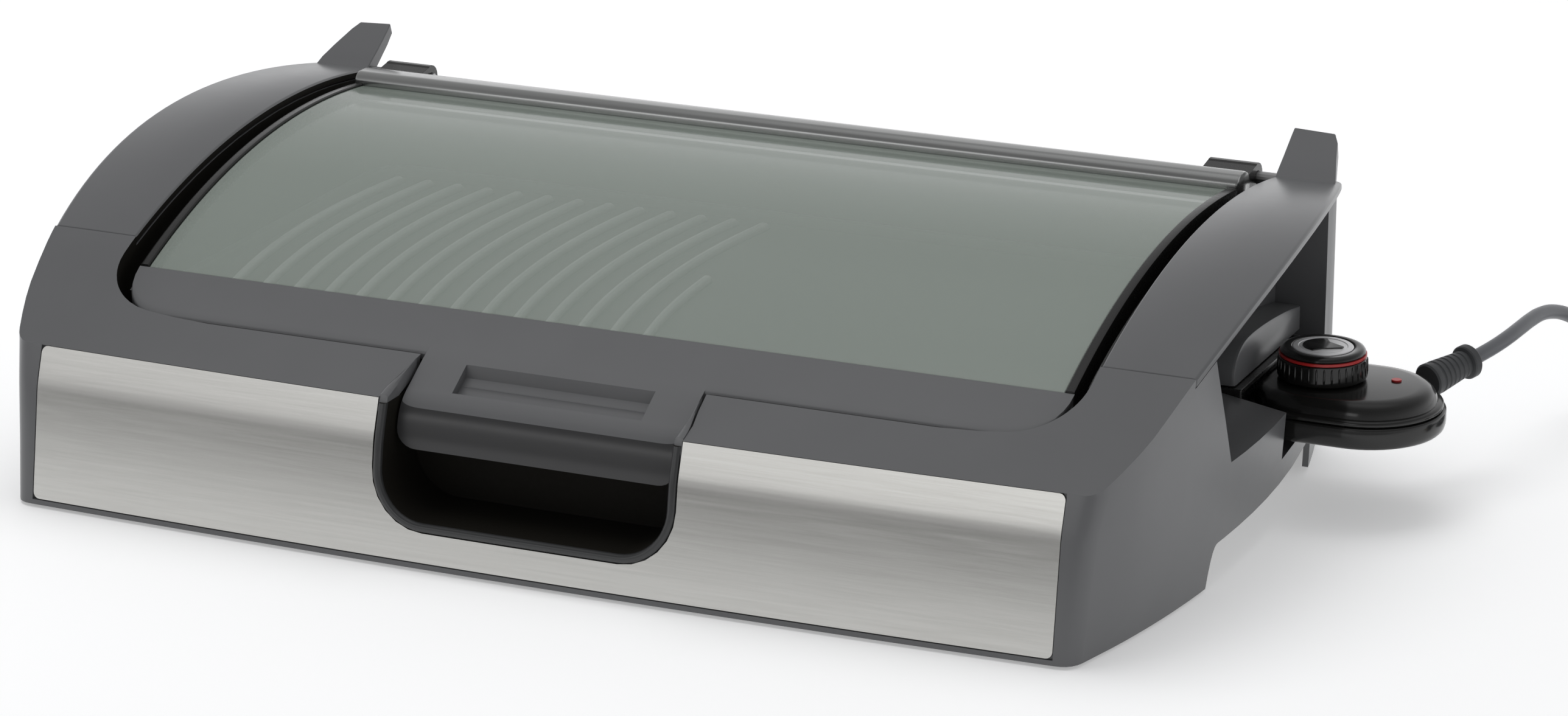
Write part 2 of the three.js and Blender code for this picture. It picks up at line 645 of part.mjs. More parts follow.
const coilRing = () => coilSolid(coil.inner, coil.outer, 0, coil.height);

function coilTie() {
  const x = coil.x - (coil.inner + coil.outer) / 2;
  const reach = (coil.outer - coil.inner) / 2 + 1.4;
  const band = box(x - reach, x + reach, coil.y - 5, coil.y + 5, 0, coil.height + 1.3);
  return band.subtract(coilSolid(coil.inner - gap, coil.outer + gap, -5, coil.height + gap));
}

// A round piece of the plug: it starts at a depth behind the plug's rear and points to the front.
function plugTaper(aside, setback, stops, sides) {
  const x = plugAxis.x + aside;
  return taper([x, plugRear - setback, plugAxis.z], [x, 0, plugAxis.z], stops, sides);
}

function plugBody() {
  const sleeve = plugTaper(0, 0, [[0, 5.4], [20, 7.6], [24.5, 8]], 16);
  const grip = plugTaper(0, 22, [[0, 9], [6, 14], [12, 17.6], [32, 17.9]], 24);
  return union(sleeve, grip);
}

const plugPin = (side) => plugTaper(side * 9.5, 54.3, [[0, 2.4], [17.6, 2.4], [19, 1.6]], 12);

// ---------------------------------------------------------------- assembly
function paintOf(color, roughness, metalness, extra = {}) {
  return new THREE.MeshStandardMaterial({ color, roughness, metalness, ...extra });
}

const paint = {
  plastic: paintOf(0x5d5e60, 0.5, 0.1),
  lidPlastic: paintOf(0x606164, 0.45, 0.1),
  black: paintOf(0x161615, 0.5, 0),
  steel: paintOf(0xb9b8b3, 0.32, 1),
  sheet: paintOf(0xa8a9aa, 0.4, 1),
  coating: paintOf(0x2a2b2b, 0.55, 0.2),
  glass: paintOf(0x8f9c90, 0.08, 0, { transparent: true, opacity: 0.5 }),
  rubber: paintOf(0x3a3b3c, 0.75, 0),
  red: paintOf(0xa32a28, 0.4, 0),
  disc: paintOf(0xa7a7a9, 0.35, 0.6),
  brass: paintOf(0xc2a45a, 0.3, 1),
};

const griddle = new THREE.Group();
const body = new THREE.Group();
const lid = new THREE.Group();
const plugIn = new THREE.Group();
const dial = new THREE.Group();
const cordSet = new THREE.Group();
griddle.add(body, lid, plugIn);
plugIn.add(dial, cordSet);

function put(group, name, shape, material) {
  const mesh = new THREE.Mesh(shape.isBufferGeometry ? shape : toGeometry(shape), material);
  mesh.name = name;
  group.add(mesh);
}

put(body, 'base_housing', housing(), paint.plastic);
put(body, 'front_panel', frontPanel(), paint.steel);
put(body, 'finger_well', fingerWell(), paint.black);
put(body, 'base_pan', basePan(), paint.sheet);
put(body, 'reflector_pan', reflectorPan(), paint.sheet);
put(body, 'grill_plate', grillPlate(), paint.coating);
put(body, 'heating_element', heatingElement(), paint.steel);
put(body, 'probe_block', probeBlock(), paint.sheet);
put(body, 'socket_shroud', socketShroud(), paint.black);
for (const [name, x, y] of footPlaces) {
  put(body, `foot_${name}`, foot(x, y), paint.rubber);
  put(body, `foot_screw_${name}`, footScrew(x, y), paint.steel);
}
put(lid, 'lid_front_frame', lidFrontFrame(), paint.lidPlastic);
put(lid, 'lid_glass', lidGlass(), paint.glass);
put(lid, 'lid_rear_rail', lidRearRail(), paint.lidPlastic);
for (const [name, side] of [['left', -1], ['right', 1]]) {
  put(body, `side_arch_${name}`, sideArch(side), paint.plastic);
  put(body, `hinge_pin_${name}`, hingePin(side), paint.steel);
  put(lid, `lid_side_frame_${name}`, lidSideFrame(side), paint.black);
  put(lid, `hinge_arm_${name}`, hingeArm(side), paint.black);
  put(lid, `lid_bumper_${name}`, lidBumper(side), paint.rubber);
}
for (const [name, side] of [['front', -1], ['rear', 1]]) {
  const y = control.y + (side * contact.spacing) / 2;
  put(body, `terminal_pin_${name}`, terminalPin(y), paint.brass);
  put(plugIn, `contact_sleeve_${name}`, contactSleeve(y), paint.brass);
}
put(plugIn, 'control_lower_shell', controlLowerShell(), paint.black);
put(plugIn, 'control_upper_shell', controlUpperShell(), paint.black);
put(plugIn, 'control_nose', controlNose(), paint.black);
put(plugIn, 'temperature_probe', temperatureProbe(), paint.steel);
put(plugIn, 'switch_unit', switchUnit(), paint.sheet);
put(plugIn, 'indicator_lens', indicatorLens(), paint.red);
put(dial, 'knob', knob(), paint.black);
put(dial, 'knob_ring', knobRing(), paint.red);
put(dial, 'knob_disc', knobDisc(), paint.disc);
put(dial, 'knob_shaft', knobShaft(), paint.steel);
put(plugIn, 'strain_relief', strainRelief(), paint.rubber);
put(cordSet, 'mains_cord', tube(cordRoute, cordRadius, 10, 22), paint.rubber);
put(cordSet, 'cord_coil', coilRing(), paint.rubber);
put(cordSet, 'cord_tail', tube(tailRoute, cordRadius, 10, 6), paint.rubber);
put(cordSet, 'cord_tie', coilTie(), paint.black);
put(cordSet, 'plug_body', plugBody(), paint.rubber);
put(cordSet, 'plug_pin_left', plugPin(-1), paint.brass);
put(cordSet, 'plug_pin_right', plugPin(1), paint.brass);

// The origin goes under the middle of everything but the cord set.
cordSet.removeFromParent();
const size = new THREE.Box3().setFromObject(griddle, true);
plugIn.add(cordSet);
const centre = size.getCenter(new THREE.Vector3());
griddle.position.set(-centre.x, -centre.y, -size.min.z);

export default griddle;
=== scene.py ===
"""Electric griddle with a hinged glass lid and a plug-in control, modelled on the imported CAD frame."""
from math import cos, pi, radians, sin, sqrt

import bmesh
import bpy
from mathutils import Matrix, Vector


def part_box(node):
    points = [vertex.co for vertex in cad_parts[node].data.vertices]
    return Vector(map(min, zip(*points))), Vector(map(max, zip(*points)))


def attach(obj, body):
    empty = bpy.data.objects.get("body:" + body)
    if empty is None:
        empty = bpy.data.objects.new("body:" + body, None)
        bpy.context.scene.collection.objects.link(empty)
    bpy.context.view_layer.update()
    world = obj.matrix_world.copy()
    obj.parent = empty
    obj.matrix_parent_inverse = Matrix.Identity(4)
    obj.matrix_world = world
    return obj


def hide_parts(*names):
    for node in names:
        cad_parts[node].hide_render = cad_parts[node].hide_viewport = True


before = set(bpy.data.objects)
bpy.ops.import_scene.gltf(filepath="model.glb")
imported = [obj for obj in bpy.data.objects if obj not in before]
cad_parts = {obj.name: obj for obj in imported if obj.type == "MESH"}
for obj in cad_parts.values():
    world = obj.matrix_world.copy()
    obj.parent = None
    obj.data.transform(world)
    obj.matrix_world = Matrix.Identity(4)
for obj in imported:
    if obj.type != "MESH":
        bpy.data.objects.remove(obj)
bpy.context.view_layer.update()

MM = 0.001
BODY_REAR = 325
panel_low, panel_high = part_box("front_panel")
_, housing_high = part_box("base_housing")
ORIGIN = Vector(((panel_low.x + panel_high.x) / 2, housing_high.y - BODY_REAR * MM, 0))


def at(point):
    """A point of the design frame, in millimetres, as a place in the scene, in metres."""
    return ORIGIN + Vector(point) * MM


def lerp(a, b, t):
    return a + (b - a) * t


def smooth(t, start=0.0, end=1.0):
    t = min(1.0, max(0.0, (t - start) / (end - start)))
    return t * t * (3 - 2 * t)


def spread(start, end, steps):
    """Even steps from start to end."""
    return [lerp(start, end, i / steps) for i in range(steps + 1)]


def linked(name, data):
    """A new object in the scene."""
    obj = bpy.data.objects.new(name, data)
    bpy.context.scene.collection.objects.link(obj)
    return obj


# ---- camera
CAMERA_TURN, CAMERA_TILT = 0.414281, 0.319395
CAMERA_DISTANCE, CAMERA_ASIDE, CAMERA_ABOVE = 2289.096, 115.846, 99.662
CAMERA_LENS = 119.19


def make_camera():
    right = Vector((cos(CAMERA_TURN), sin(CAMERA_TURN), 0))
    level = cos(CAMERA_TILT)
    forward = Vector((-sin(CAMERA_TURN) * level, cos(CAMERA_TURN) * level, -sin(CAMERA_TILT)))
    up = right.cross(forward)
    data = bpy.data.cameras.new("camera")
    data.lens = CAMERA_LENS
    data.sensor_width = 36
    data.sensor_fit = "HORIZONTAL"
    data.clip_end = 50
    camera = linked("camera", data)
    camera.location = at(right * CAMERA_ASIDE + up * CAMERA_ABOVE - forward * CAMERA_DISTANCE)
    camera.rotation_euler = forward.to_track_quat("-Z", "Y").to_euler()
    bpy.context.scene.camera = camera


make_camera()


# ---- materials
MIX_FACTOR, MIX_FIRST, MIX_SECOND, MIX_RESULT = 0, 6, 7, 2  # colour sockets of a mix node


def map_range(nodes, links, source, low, high, start=0.0, end=1.0):
    """A value taken from the range start to end onto the range low to high."""
    node = nodes.new("ShaderNodeMapRange")
    for socket, value in (("From Min", start), ("From Max", end), ("To Min", low), ("To Max", high)):
        node.inputs[socket].default_value = value
    links.new(source, node.inputs["Value"])
    return node.outputs["Result"]


def colour_mix(nodes, links, factor, second):
    """A mix towards the second colour; its first colour is still to be set."""
    node = nodes.new("ShaderNodeMix")
    node.data_type = "RGBA"
    node.inputs[MIX_SECOND].default_value = (*second, 1)
    links.new(factor, node.inputs[MIX_FACTOR])
    return node


def material(
    name, colour, roughness, rough_spread=0.0, grain=0.0, grain_size=0.6, tint=None, tint_size=40.0,
    stretch=(1, 1, 1), **direct,
):
    """A material whose colour drifts towards the tint; grain is a bump height in mm."""
    made = bpy.data.materials.new(name)
    made.use_nodes = True
    nodes, links = made.node_tree.nodes, made.node_tree.links
    shader = nodes["Principled BSDF"]
    for socket, value in direct.items():
        shader.inputs[socket.replace("_", " ")].default_value = value
    coords = nodes.new("ShaderNodeTexCoord")
    mapping = nodes.new("ShaderNodeMapping")
    mapping.inputs["Scale"].default_value = stretch
    links.new(coords.outputs["Object"], mapping.inputs["Vector"])

    def noise(size, detail):
        node = nodes.new("ShaderNodeTexNoise")
        node.inputs["Scale"].default_value = 1 / (size * MM)
        node.inputs["Detail"].default_value = detail
        links.new(mapping.outputs["Vector"], node.inputs["Vector"])
        return node.outputs["Fac"]

    mix = colour_mix(nodes, links, noise(tint_size, 3), tint or [c * 1.12 for c in colour])
    mix.inputs[MIX_FIRST].default_value = (*colour, 1)
    links.new(mix.outputs[MIX_RESULT], shader.inputs["Base Color"])
    low, high = max(0.02, roughness - rough_spread), min(1.0, roughness + rough_spread)
    spread = map_range(nodes, links, noise(max(0.2, grain_size * 3), 4), low, high)
    links.new(spread, shader.inputs["Roughness"])
    if grain:
        bump = nodes.new("ShaderNodeBump")
        bump.inputs["Strength"].default_value = 1.0
        bump.inputs["Distance"].default_value = grain * MM
        links.new(noise(grain_size, 2), bump.inputs["Height"])
        links.new(bump.outputs["Normal"], shader.inputs["Normal"])
    return made


def paint_highlight_above(paint, low, high, colour):
    """Paints a highlight between two heights: the paint is lightened there, so that the rib crowns show as
    light lines through the glass.
    """
    nodes, links = paint.node_tree.nodes, paint.node_tree.links
    shader = nodes["Principled BSDF"]
    base = shader.inputs["Base Color"].links[0].from_socket
    coords = nodes.new("ShaderNodeTexCoord")
    split = nodes.new("ShaderNodeSeparateXYZ")
    links.new(coords.outputs["Object"], split.inputs[0])
    reach = map_range(nodes, links, split.outputs["Z"], 0.0, 1.0, low * MM, high * MM)
    mix = colour_mix(nodes, links, reach, colour)
    links.new(base, mix.inputs[MIX_FIRST])
    links.new(mix.outputs[MIX_RESULT], shader.inputs["Base Color"])


BLACK = (0.012, 0.012, 0.0115)
COATED = dict(tint=(0.1, 0.1, 0.098), tint_size=0.9)
FINISHES = [  # name, colour, roughness, spread of roughness, grain and its size in mm, the rest
    ("housing_plastic", (0.118, 0.12, 0.124), 0.29, 0.02, 0.002, 2.5, {}),
    ("lid_plastic", (0.13, 0.132, 0.136), 0.29, 0.02, 0.002, 2.5, {}),
    # painted shade: the grip's face below its fold, a darker copy of the lid's plastic
    ("lip_plastic", (0.03, 0.03, 0.031), 0.3, 0.02, 0.002, 2.5, {}),
    ("rail_plastic", (0.33, 0.335, 0.33), 0.24, 0.03, 0.004, 0.9, dict(Metallic=0.85)),
    ("black_plastic", BLACK, 0.28, 0.06, 0.008, 0.8, {}),
    ("gloss_black", BLACK, 0.16, 0.04, 0.004, 3, {}),
    # painted shade: near-black with little sheen, put inside the lid's opening, on the arches' inner edges
    # and undersides, and inside the black finger well to darken them as shade
    ("cavity_black", (0.009, 0.008, 0.006), 0.75, 0.08, 0.01, 0.8, dict(Specular_IOR_Level=0.15)),
    ("trim_plastic", (0.03, 0.031, 0.032), 0.32, 0.05, 0.012, 0.9, {}),
    ("front_steel", (0.5, 0.495, 0.472), 0.23, 0.05, 0.0025, 0.5, dict(
        tint=(0.6, 0.595, 0.572), tint_size=1.4, stretch=(0.018, 1, 1), Metallic=1.0)),
    ("sheet_steel", (0.42, 0.42, 0.42), 0.42, 0.08, 0.004, 1.2, dict(Metallic=1.0)),
    ("plate_coating", (0.06, 0.061, 0.06), 0.42, 0.1, 0.03, 0.9, COATED),
    # partly painted reflection: the glass's pale, half-opaque grey-green is its green tint and also stands in
    # for the bright sheen it reflects
    ("lid_glass", (0.42, 0.485, 0.43), 0.1, 0.004, 0, 30, dict(
        tint=(0.44, 0.505, 0.45), tint_size=150, IOR=2.2, Alpha=0.46)),
    ("rubber", (0.05, 0.052, 0.055), 0.55, 0.06, 0.012, 0.7, {}),
    ("cord_rubber", (0.12, 0.125, 0.135), 0.42, 0.06, 0.01, 0.9, {}),
    ("red_plastic", (0.45, 0.02, 0.02), 0.3, 0.05, 0.003, 1.5, {}),
    ("dial_metal", (0.78, 0.78, 0.79), 0.36, 0.06, 0.003, 0.5, dict(stretch=(1, 0.05, 1), Metallic=0.35)),
    ("contact_metal", (0.6, 0.48, 0.26), 0.3, 0.08, 0.003, 0.8, dict(Metallic=1.0)),
    # the plate's coating with a painted highlight on the rib crowns
    ("rib_coating", (0.06, 0.061, 0.06), 0.4, 0.1, 0.03, 0.9, COATED),
]
PAINT = {name: material(name, *values, **rest) for name, *values, rest in FINISHES}
# painted highlight: the rib crowns between 84 and 87 mm are lightened towards a pale grey
paint_highlight_above(PAINT["rib_coating"], 84.0, 87.0, (0.8, 0.81, 0.8))


# ---- mesh building
def finish_piece(obj, body, slot, replaced=(), bevel=None):
    """Rounds a piece's edges, joins it to its body, and hides the CAD nodes it stands for; the finish it is
    given is not used.
    """
    if bevel:
        add_bevel(obj, *bevel)
    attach(obj, body)
    if replaced:
        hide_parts(*replaced)
    return obj


def add_bevel(obj, width, segments, angle):
    """Rounds the edges sharper than an angle in degrees by a width in millimetres."""
    bevel = obj.modifiers.new("rounded edges", "BEVEL")
    bevel.width = width * MM
    bevel.segments = segments
    bevel.limit_method = "ANGLE"
    bevel.angle_limit = radians(angle)
    bevel.use_clamp_overlap = True
    bevel.harden_normals = True
    bevel.miter_outer = "MITER_ARC"


def mesh_object(name, shells, paints, sharp):
    """One object from shells of (points in mm, faces, paint index per face)."""
    mesh = bpy.data.meshes.new(name)
    build = bmesh.new()
    for points, faces, marks in shells:
        verts = [build.verts.new(at(p)) for p in points]
        for face, mark in zip(faces, marks):
            corners = [verts[i] for i in face]
            if len(set(corners)) > 2:
                build.faces.new(corners).material_index = mark
    bmesh.ops.remove_doubles(build, verts=build.verts, dist=1e-6)
    bmesh.ops.dissolve_degenerate(build, edges=build.edges, dist=1e-7)
    bmesh.ops.recalc_face_normals(build, faces=build.faces)
    build.to_mesh(mesh)
    build.free()
    mesh.shade_smooth()
    mesh.set_sharp_from_angle(angle=radians(sharp))
    for paint in paints:
        mesh.materials.append(PAINT[paint])
    return linked(name, mesh)


def piece(name, shells, paints, sharp, *finish):
    """A finished mesh; edges sharper than an angle in degrees stay sharp in its shading."""
    return finish_piece(mesh_object(name, shells, paints, sharp), *finish)


def skin(rows, loop=False, mark=0):
    """A shell over rows of points, each row a closed section."""
    count = len(rows[0])
    points = [p for row in rows for p in row]
    faces = []
    last = len(rows) if loop else len(rows) - 1
    for r in range(last):
        here, there = r * count, ((r + 1) % len(rows)) * count
        for i in range(count):
            after = (i + 1) % count
            faces.append((here + i, here + after, there + after, there + i))
    if not loop:
        faces.append(tuple(reversed(range(count))))
        faces.append(tuple(range(last * count, last * count + count)))
    return points, faces, [mark] * len(faces)


def lathe(profile, origin, direction=(0, 0, 1), sides=48):
    """A shell turned about an axis; the profile is (radius, distance along), and both its ends close."""
    axis = Vector(direction).normalized()
    side = axis.orthogonal().normalized()
    other = axis.cross(side)
    rows = []
    for radius, along in profile:
        centre = Vector(origin) + axis * along
        turns = [2 * pi * i / sides for i in range(sides)]
        rows.append([centre + (side * cos(a) + other * sin(a)) * max(radius, 1e-4) for a in turns])
    return skin(rows)


def on_circle(centre, radius, angle):
    """A place in plan on a circle, at an angle in radians."""
    return centre[0] + radius * cos(angle), centre[1] + radius * sin(angle)


def corner_cut(x, half, radius):
    """How far a rounded corner of a shape with a half width draws its edge back at x."""
    beyond = max(0.0, abs(x) - (half - radius))
    return radius - sqrt(max(0.0, radius ** 2 - beyond ** 2))


def bend(t, start, corner, end):
    """A value on a curve from start to end that is drawn towards the corner."""
    return (1 - t) ** 2 * start + 2 * t * (1 - t) * corner + t * t * end


def mirrored(points):
    """The same points on the other side of the body."""
    return [(-x, y, z) for x, y, z in points]


def rounded(outline, radii, steps):
    """The outline with each corner rounded by its own radius."""
    result = []
    for i, (point, r) in enumerate(zip(outline, radii)):
        here = Vector(point)
        before, after = (Vector(outline[j % len(outline)]) - here for j in (i - 1, i + 1))
        reach = min(r, before.length * 0.49, after.length * 0.49)
        start, end = here + before.normalized() * reach, here + after.normalized() * reach
        for t in spread(0, 1, steps):
            result.append(tuple(start * (1 - t) ** 2 + here * 2 * t * (1 - t) + end * t * t))
    return result


def through(points):
    """A smooth line through points, with three places on each span."""
    ends = [points[0], *points, points[-1]]
    line = []
    for i in range(1, len(ends) - 2):
        a, b, c, d = (Vector(p) for p in ends[i - 1:i + 3])
        for t in (0, 1 / 3, 2 / 3):
            square, cube = 2 * a - 5 * b + 4 * c - d, 3 * b - a - 3 * c + d
            line.append(tuple(0.5 * ((2 * b) + (c - a) * t + square * t * t + cube * t ** 3)))
    return line + [tuple(points[-1])]


# ---- mains cord
CORD_RADIUS = 3.5
COIL_CENTRE = (428.0, 400.0)
COIL_START = 99.8
RELIEF_FROM, RELIEF_TO = Vector((326, 283.8, 51.2)), Vector((338, 309, 55))
CORD_ROUTE = [
    (338.1, 309.2, 55.05), (339.5, 312.3, 55.5), (341.9, 318, 56.4), (345.2, 328, 57.6), (348, 340, 58.8),
    (349.8, 353, 59.6), (351, 366, 59.8), (352.4, 379, 59.2), (354.6, 391.5, 57), (358, 403.5, 52.8),
    (362.6, 414.6, 46.4), (368.6, 424.6, 38), (376, 433, 28.6), (384.8, 439.6, 19.4), (394.8, 444, 11.6),
    (405.6, 446.4, 6.0),
]
TAIL_ROUTE = [(473.5, 387.5, 11.4), (473.5, 374.2, 13.2), (473.5, 361, 17), (473.5, 351.5, 18)]
COIL_TURNS = 5.277
# Turns from the start of the coil, with its radius and its height there.
COIL_RADII = [
    (0.0, 45.5), (0.8, 45.5), (1.0, 38.5), (1.8, 38.5), (2.0, 31.5), (3.4, 31.5), (3.6, 38.0), (4.4, 38.0),
    (4.6, 44.5), (5.05, 44.5), (COIL_TURNS, 45.5),
]
COIL_HEIGHTS = [(0.0, 3.6), (2.6, 3.5), (2.85, 10.5), (COIL_TURNS, 10.5)]
PLUG_REAR = Vector((473.5, 352, 18))


def stepped(stops, t):
    """A value that eases from stop to stop."""
    for (t0, v0), (t1, v1) in zip(stops, stops[1:]):
        if t <= t1:
            return lerp(v0, v1, smooth(t, t0, t1))
    return stops[-1][1]


def coil_points():
    points = []
    for turn in spread(0, COIL_TURNS, round(COIL_TURNS * 16)):
        angle = radians(COIL_START - 360 * turn)
        place = on_circle(COIL_CENTRE, stepped(COIL_RADII, turn), angle)
        points.append((*place, stepped(COIL_HEIGHTS, turn)))
    return points


def make_cord():
    """The lead as one curve from the sleeve, through the coil, to the plug."""
    data = bpy.data.curves.new("mains_lead", "CURVE")
    data.dimensions = "3D"
    data.bevel_depth = CORD_RADIUS * MM
    data.bevel_resolution = 5
    data.resolution_u = 5
    data.use_fill_caps = True
    points = CORD_ROUTE + coil_points() + TAIL_ROUTE
    spline = data.splines.new("BEZIER")
    spline.bezier_points.add(len(points) - 1)
    for knot, point in zip(spline.bezier_points, points):
        knot.co = at(point)
        knot.handle_left_type = knot.handle_right_type = "AUTO"
    data.materials.append(PAINT["cord_rubber"])
    return finish_piece(
        linked("mains_lead", data), "control", "rubber", ("mains_cord", "cord_coil", "cord_tail"))


def make_relief():
    """The tapered sleeve with its grip ribs and end flange."""
    profile = [(0, 0), (7.4, 0), (8.1, 0.8), (8.0, 3.4)]
    for i in range(6):
        start, radius = 4.4 + i * 3.3, 7.9 - i * 0.3
        groove = radius - 0.4
        profile += [(groove, start), (groove, start + 0.7), (radius, start + 1.1), (radius - 0.15, start + 3)]
    profile += [(6.1, 24.6), (7.6, 25), (8.1, 25.6), (8.1, 28.6), (7.5, 29.4), (5.4, 29.8), (4.2, 30)]
    profile.append((0, 30))
    sleeve = lathe(profile, RELIEF_FROM, RELIEF_TO - RELIEF_FROM, 40)
    piece("cord_relief", [sleeve], ["rubber"], 35, "control", "rubber", ("strain_relief",))


def make_plug():
    """The plug's moulded body: a ribbed sleeve that widens into the grip."""
    profile = [(0, 0), (4.6, 0), (5.3, 0.7)]
    for i in range(5):
        start, radius = 2.2 + i * 3.4, 5.6 + i * 0.42
        groove = radius - 0.8
        profile += [(radius, start), (radius + 0.2, start + 1.9), (groove, start + 2.3), (groove, start + 3)]
    profile += [
        (8.2, 20.4), (9.6, 22), (12.4, 25.6), (14.6, 29), (16.8, 33.2), (17.6, 36.4), (17.8, 50.6),
        (17.4, 52.6), (15.8, 53.8), (0, 54),
    ]
    body = lathe(profile, PLUG_REAR, (0, -1, 0), 48)
    return piece("plug_grip", [body], ["rubber"], 35, "control", "rubber", ("plug_body",))


cord = make_cord()
make_relief()
plug = make_plug()


# ---- floor and light, in metres
FLOOR_HALF = 6.0
FLOOR_DROP = 0.0002
FLAG_HALF, FLAG_REAR, FLAG_FRONT, FLAG_HEIGHT = 5.0, -0.55, -6.0, 0.001
LIGHT_AIM = (0, 0, 0.05)
LIGHTS = [  # name, place, size, power, seen in reflections
    ("overhead", (-0.5, 0.5, 2.4), (2.4, 1.8), 27, False),
    ("front_softbox", (-1.1, -3.0, 1.28), (3.6, 0.7), 11, True),
]
SKY = [(0.0, 1.05), (0.14, 1.0), (0.36, 0.62), (0.6, 0.4), (0.85, 0.42), (1.0, 0.8)]  # upwards, brightness
SKY_LEFT, SKY_RIGHT = 1.15, 0.85
SKY_FRONT, SKY_REAR = 0.45, 1.2


def flat_card(name, half, front, rear, z, paint):
    """A level rectangle that belongs to the stage."""
    mesh = bpy.data.meshes.new(name)
    corners = [(x, y, z) for x, y in ((-half, front), (half, front), (half, rear), (-half, rear))]
    mesh.from_pydata(corners, [], [range(4)])
    mesh.materials.append(paint)
    card = linked(name, mesh)
    return card


def make_floor():
    """White paper that gives off a little light, and a dark card in front that only reflections see."""
    paper = material(
        "floor_paper", (0.91, 0.915, 0.92), 0.8, tint=(0.93, 0.935, 0.94), tint_size=300, grain=0.01,
        Emission_Color=(1.0, 1.0, 1.0, 1.0), Emission_Strength=0.3)
    floor = flat_card("floor", FLOOR_HALF, -FLOOR_HALF, FLOOR_HALF, 0, paper)
    floor.location.z = -FLOOR_DROP
    cloth = material("flag_cloth", (0.16, 0.16, 0.155), 0.9, tint_size=300)
    flag = flat_card("floor_flag", FLAG_HALF, FLAG_FRONT, FLAG_REAR, FLAG_HEIGHT, cloth)
    for ray in ("camera", "diffuse", "transmission", "shadow"):
        setattr(flag, "visible_" + ray, False)


def make_world():
    """A grey sky that is brightest near the horizon, on the left and at the rear."""
    world = bpy.data.worlds.new("studio")
    bpy.context.scene.world = world
    world.use_nodes = True
    nodes, links = world.node_tree.nodes, world.node_tree.links
    coords = nodes.new("ShaderNodeTexCoord")
    split = nodes.new("ShaderNodeSeparateXYZ")
    ramp = nodes.new("ShaderNodeValToRGB")
    links.new(coords.outputs["Generated"], split.inputs[0])
    links.new(split.outputs["Z"], ramp.inputs[0])
    elements = ramp.color_ramp.elements
    while len(elements) < len(SKY):
        elements.new(0.5)
    for element, (place, value) in zip(elements, SKY):
        element.position = place
        element.color = (value, value, value * 1.01, 1)
    links.new(ramp.outputs[0], nodes["Background"].inputs["Color"])
    side = map_range(nodes, links, split.outputs["X"], SKY_LEFT, SKY_RIGHT, -1, 1)
    depth = map_range(nodes, links, split.outputs["Y"], SKY_FRONT, SKY_REAR, -1, 1)
    product = nodes.new("ShaderNodeMath")
    product.operation = "MULTIPLY"
    links.new(side, product.inputs[0])
    links.new(depth, product.inputs[1])
    links.new(product.outputs[0], nodes["Background"].inputs["Strength"])


def make_lights():
    for name, place, size, power, reflected in LIGHTS:
        data = bpy.data.lights.new(name, "AREA")
        data.shape = "RECTANGLE"
        data.size, data.size_y = size
        data.energy = power
        lamp = linked(name, data)
        lamp.location = place
        lamp.rotation_euler = (Vector(LIGHT_AIM) - Vector(place)).to_track_quat("-Z", "Y").to_euler()
        lamp.visible_glossy = reflected
        lamp.visible_diffuse = not reflected


make_floor()
make_world()
make_lights()
bpy.context.scene.view_settings.view_transform = "Standard"

# ---- body surfaces, in the design frame
PANEL_HALF = 250
PANEL_BOW = 4.5
PANEL_FOOT, PANEL_TOP = 4, 73.7
PANEL_TOP_Y = 14.1
FOLD_LOW, FOLD_HIGH = 54, 60  # heights between which the front face bends, with its depth there
FOLD_LOW_Y, FOLD_HIGH_Y = 7.8, 9.4
SLOPE_LOW, SLOPE_HIGH = 0.156, 0.343
WALL = 3
SIDE_HALF, SIDE_Y, SIDE_RADIUS = 281.5, 165, 616  # the side wall's bulge in plan, at the table
LEAN_FRONT, LEAN_REAR = -0.005, 0.065
DECK_MIDDLE, DECK_SIDE = 84.4, 88.7
SEAM = 82.5
ARCH_Y, ARCH_Z, ARCH_RADIUS = 238.5, -280.5, 418.7
POCKET_HALF, POCKET_FRONT, POCKET_REAR, POCKET_FLOOR = 239.3, 43.4, 305, 77.2
TUB_HALF, TUB_FRONT, TUB_REAR, TUB_FLOOR = 214, 72, 286, 22.1
SHELF = 117
FOOT, SKIRT_RAISED = 1.3, 20
FRONT_FOOT_END, REAR_FOOT_START = 112, 283
WELL_HALF, WELL_RADIUS, WELL_FLOOR = 73.9, 26, 17.7
CREST = 73.9
ARCH_DROP = 4.3
RECESS_BACK = 244


def hermite(t, start, start_slope, end, end_slope):
    """A value that leaves its start and meets its end with given slopes."""
    return (
        (2 * t ** 3 - 3 * t ** 2 + 1) * start + (t ** 3 - 2 * t ** 2 + t) * start_slope
        + (3 * t ** 2 - 2 * t ** 3) * end + (t ** 3 - t ** 2) * end_slope
    )


def front_y(z):
    """Depth of the front face at a height: it leans back, and more steeply above a soft fold."""
    if z <= FOLD_LOW:
        return SLOPE_LOW * (z - PANEL_FOOT)
    if z >= FOLD_HIGH:
        return FOLD_HIGH_Y + SLOPE_HIGH * (z - FOLD_HIGH)
    span = FOLD_HIGH - FOLD_LOW
    return hermite((z - FOLD_LOW) / span, FOLD_LOW_Y, SLOPE_LOW * span, FOLD_HIGH_Y, SLOPE_HIGH * span)


def bow(x):
    """How far the front bows forward at x."""
    return PANEL_BOW * max(0.0, 1 - (x / PANEL_HALF) ** 2)


def wall_x(y, z):
    """Half width of the body at a depth and height."""
    foot = SIDE_HALF - SIDE_RADIUS + sqrt(SIDE_RADIUS ** 2 - (y - SIDE_Y) ** 2)
    return foot + z * lerp(LEAN_FRONT, LEAN_REAR, smooth(y, -5, 50))


def arch_top(y):
    """Height of the arches' curve at a depth."""
    return ARCH_Z + sqrt(ARCH_RADIUS ** 2 - (y - ARCH_Y) ** 2)


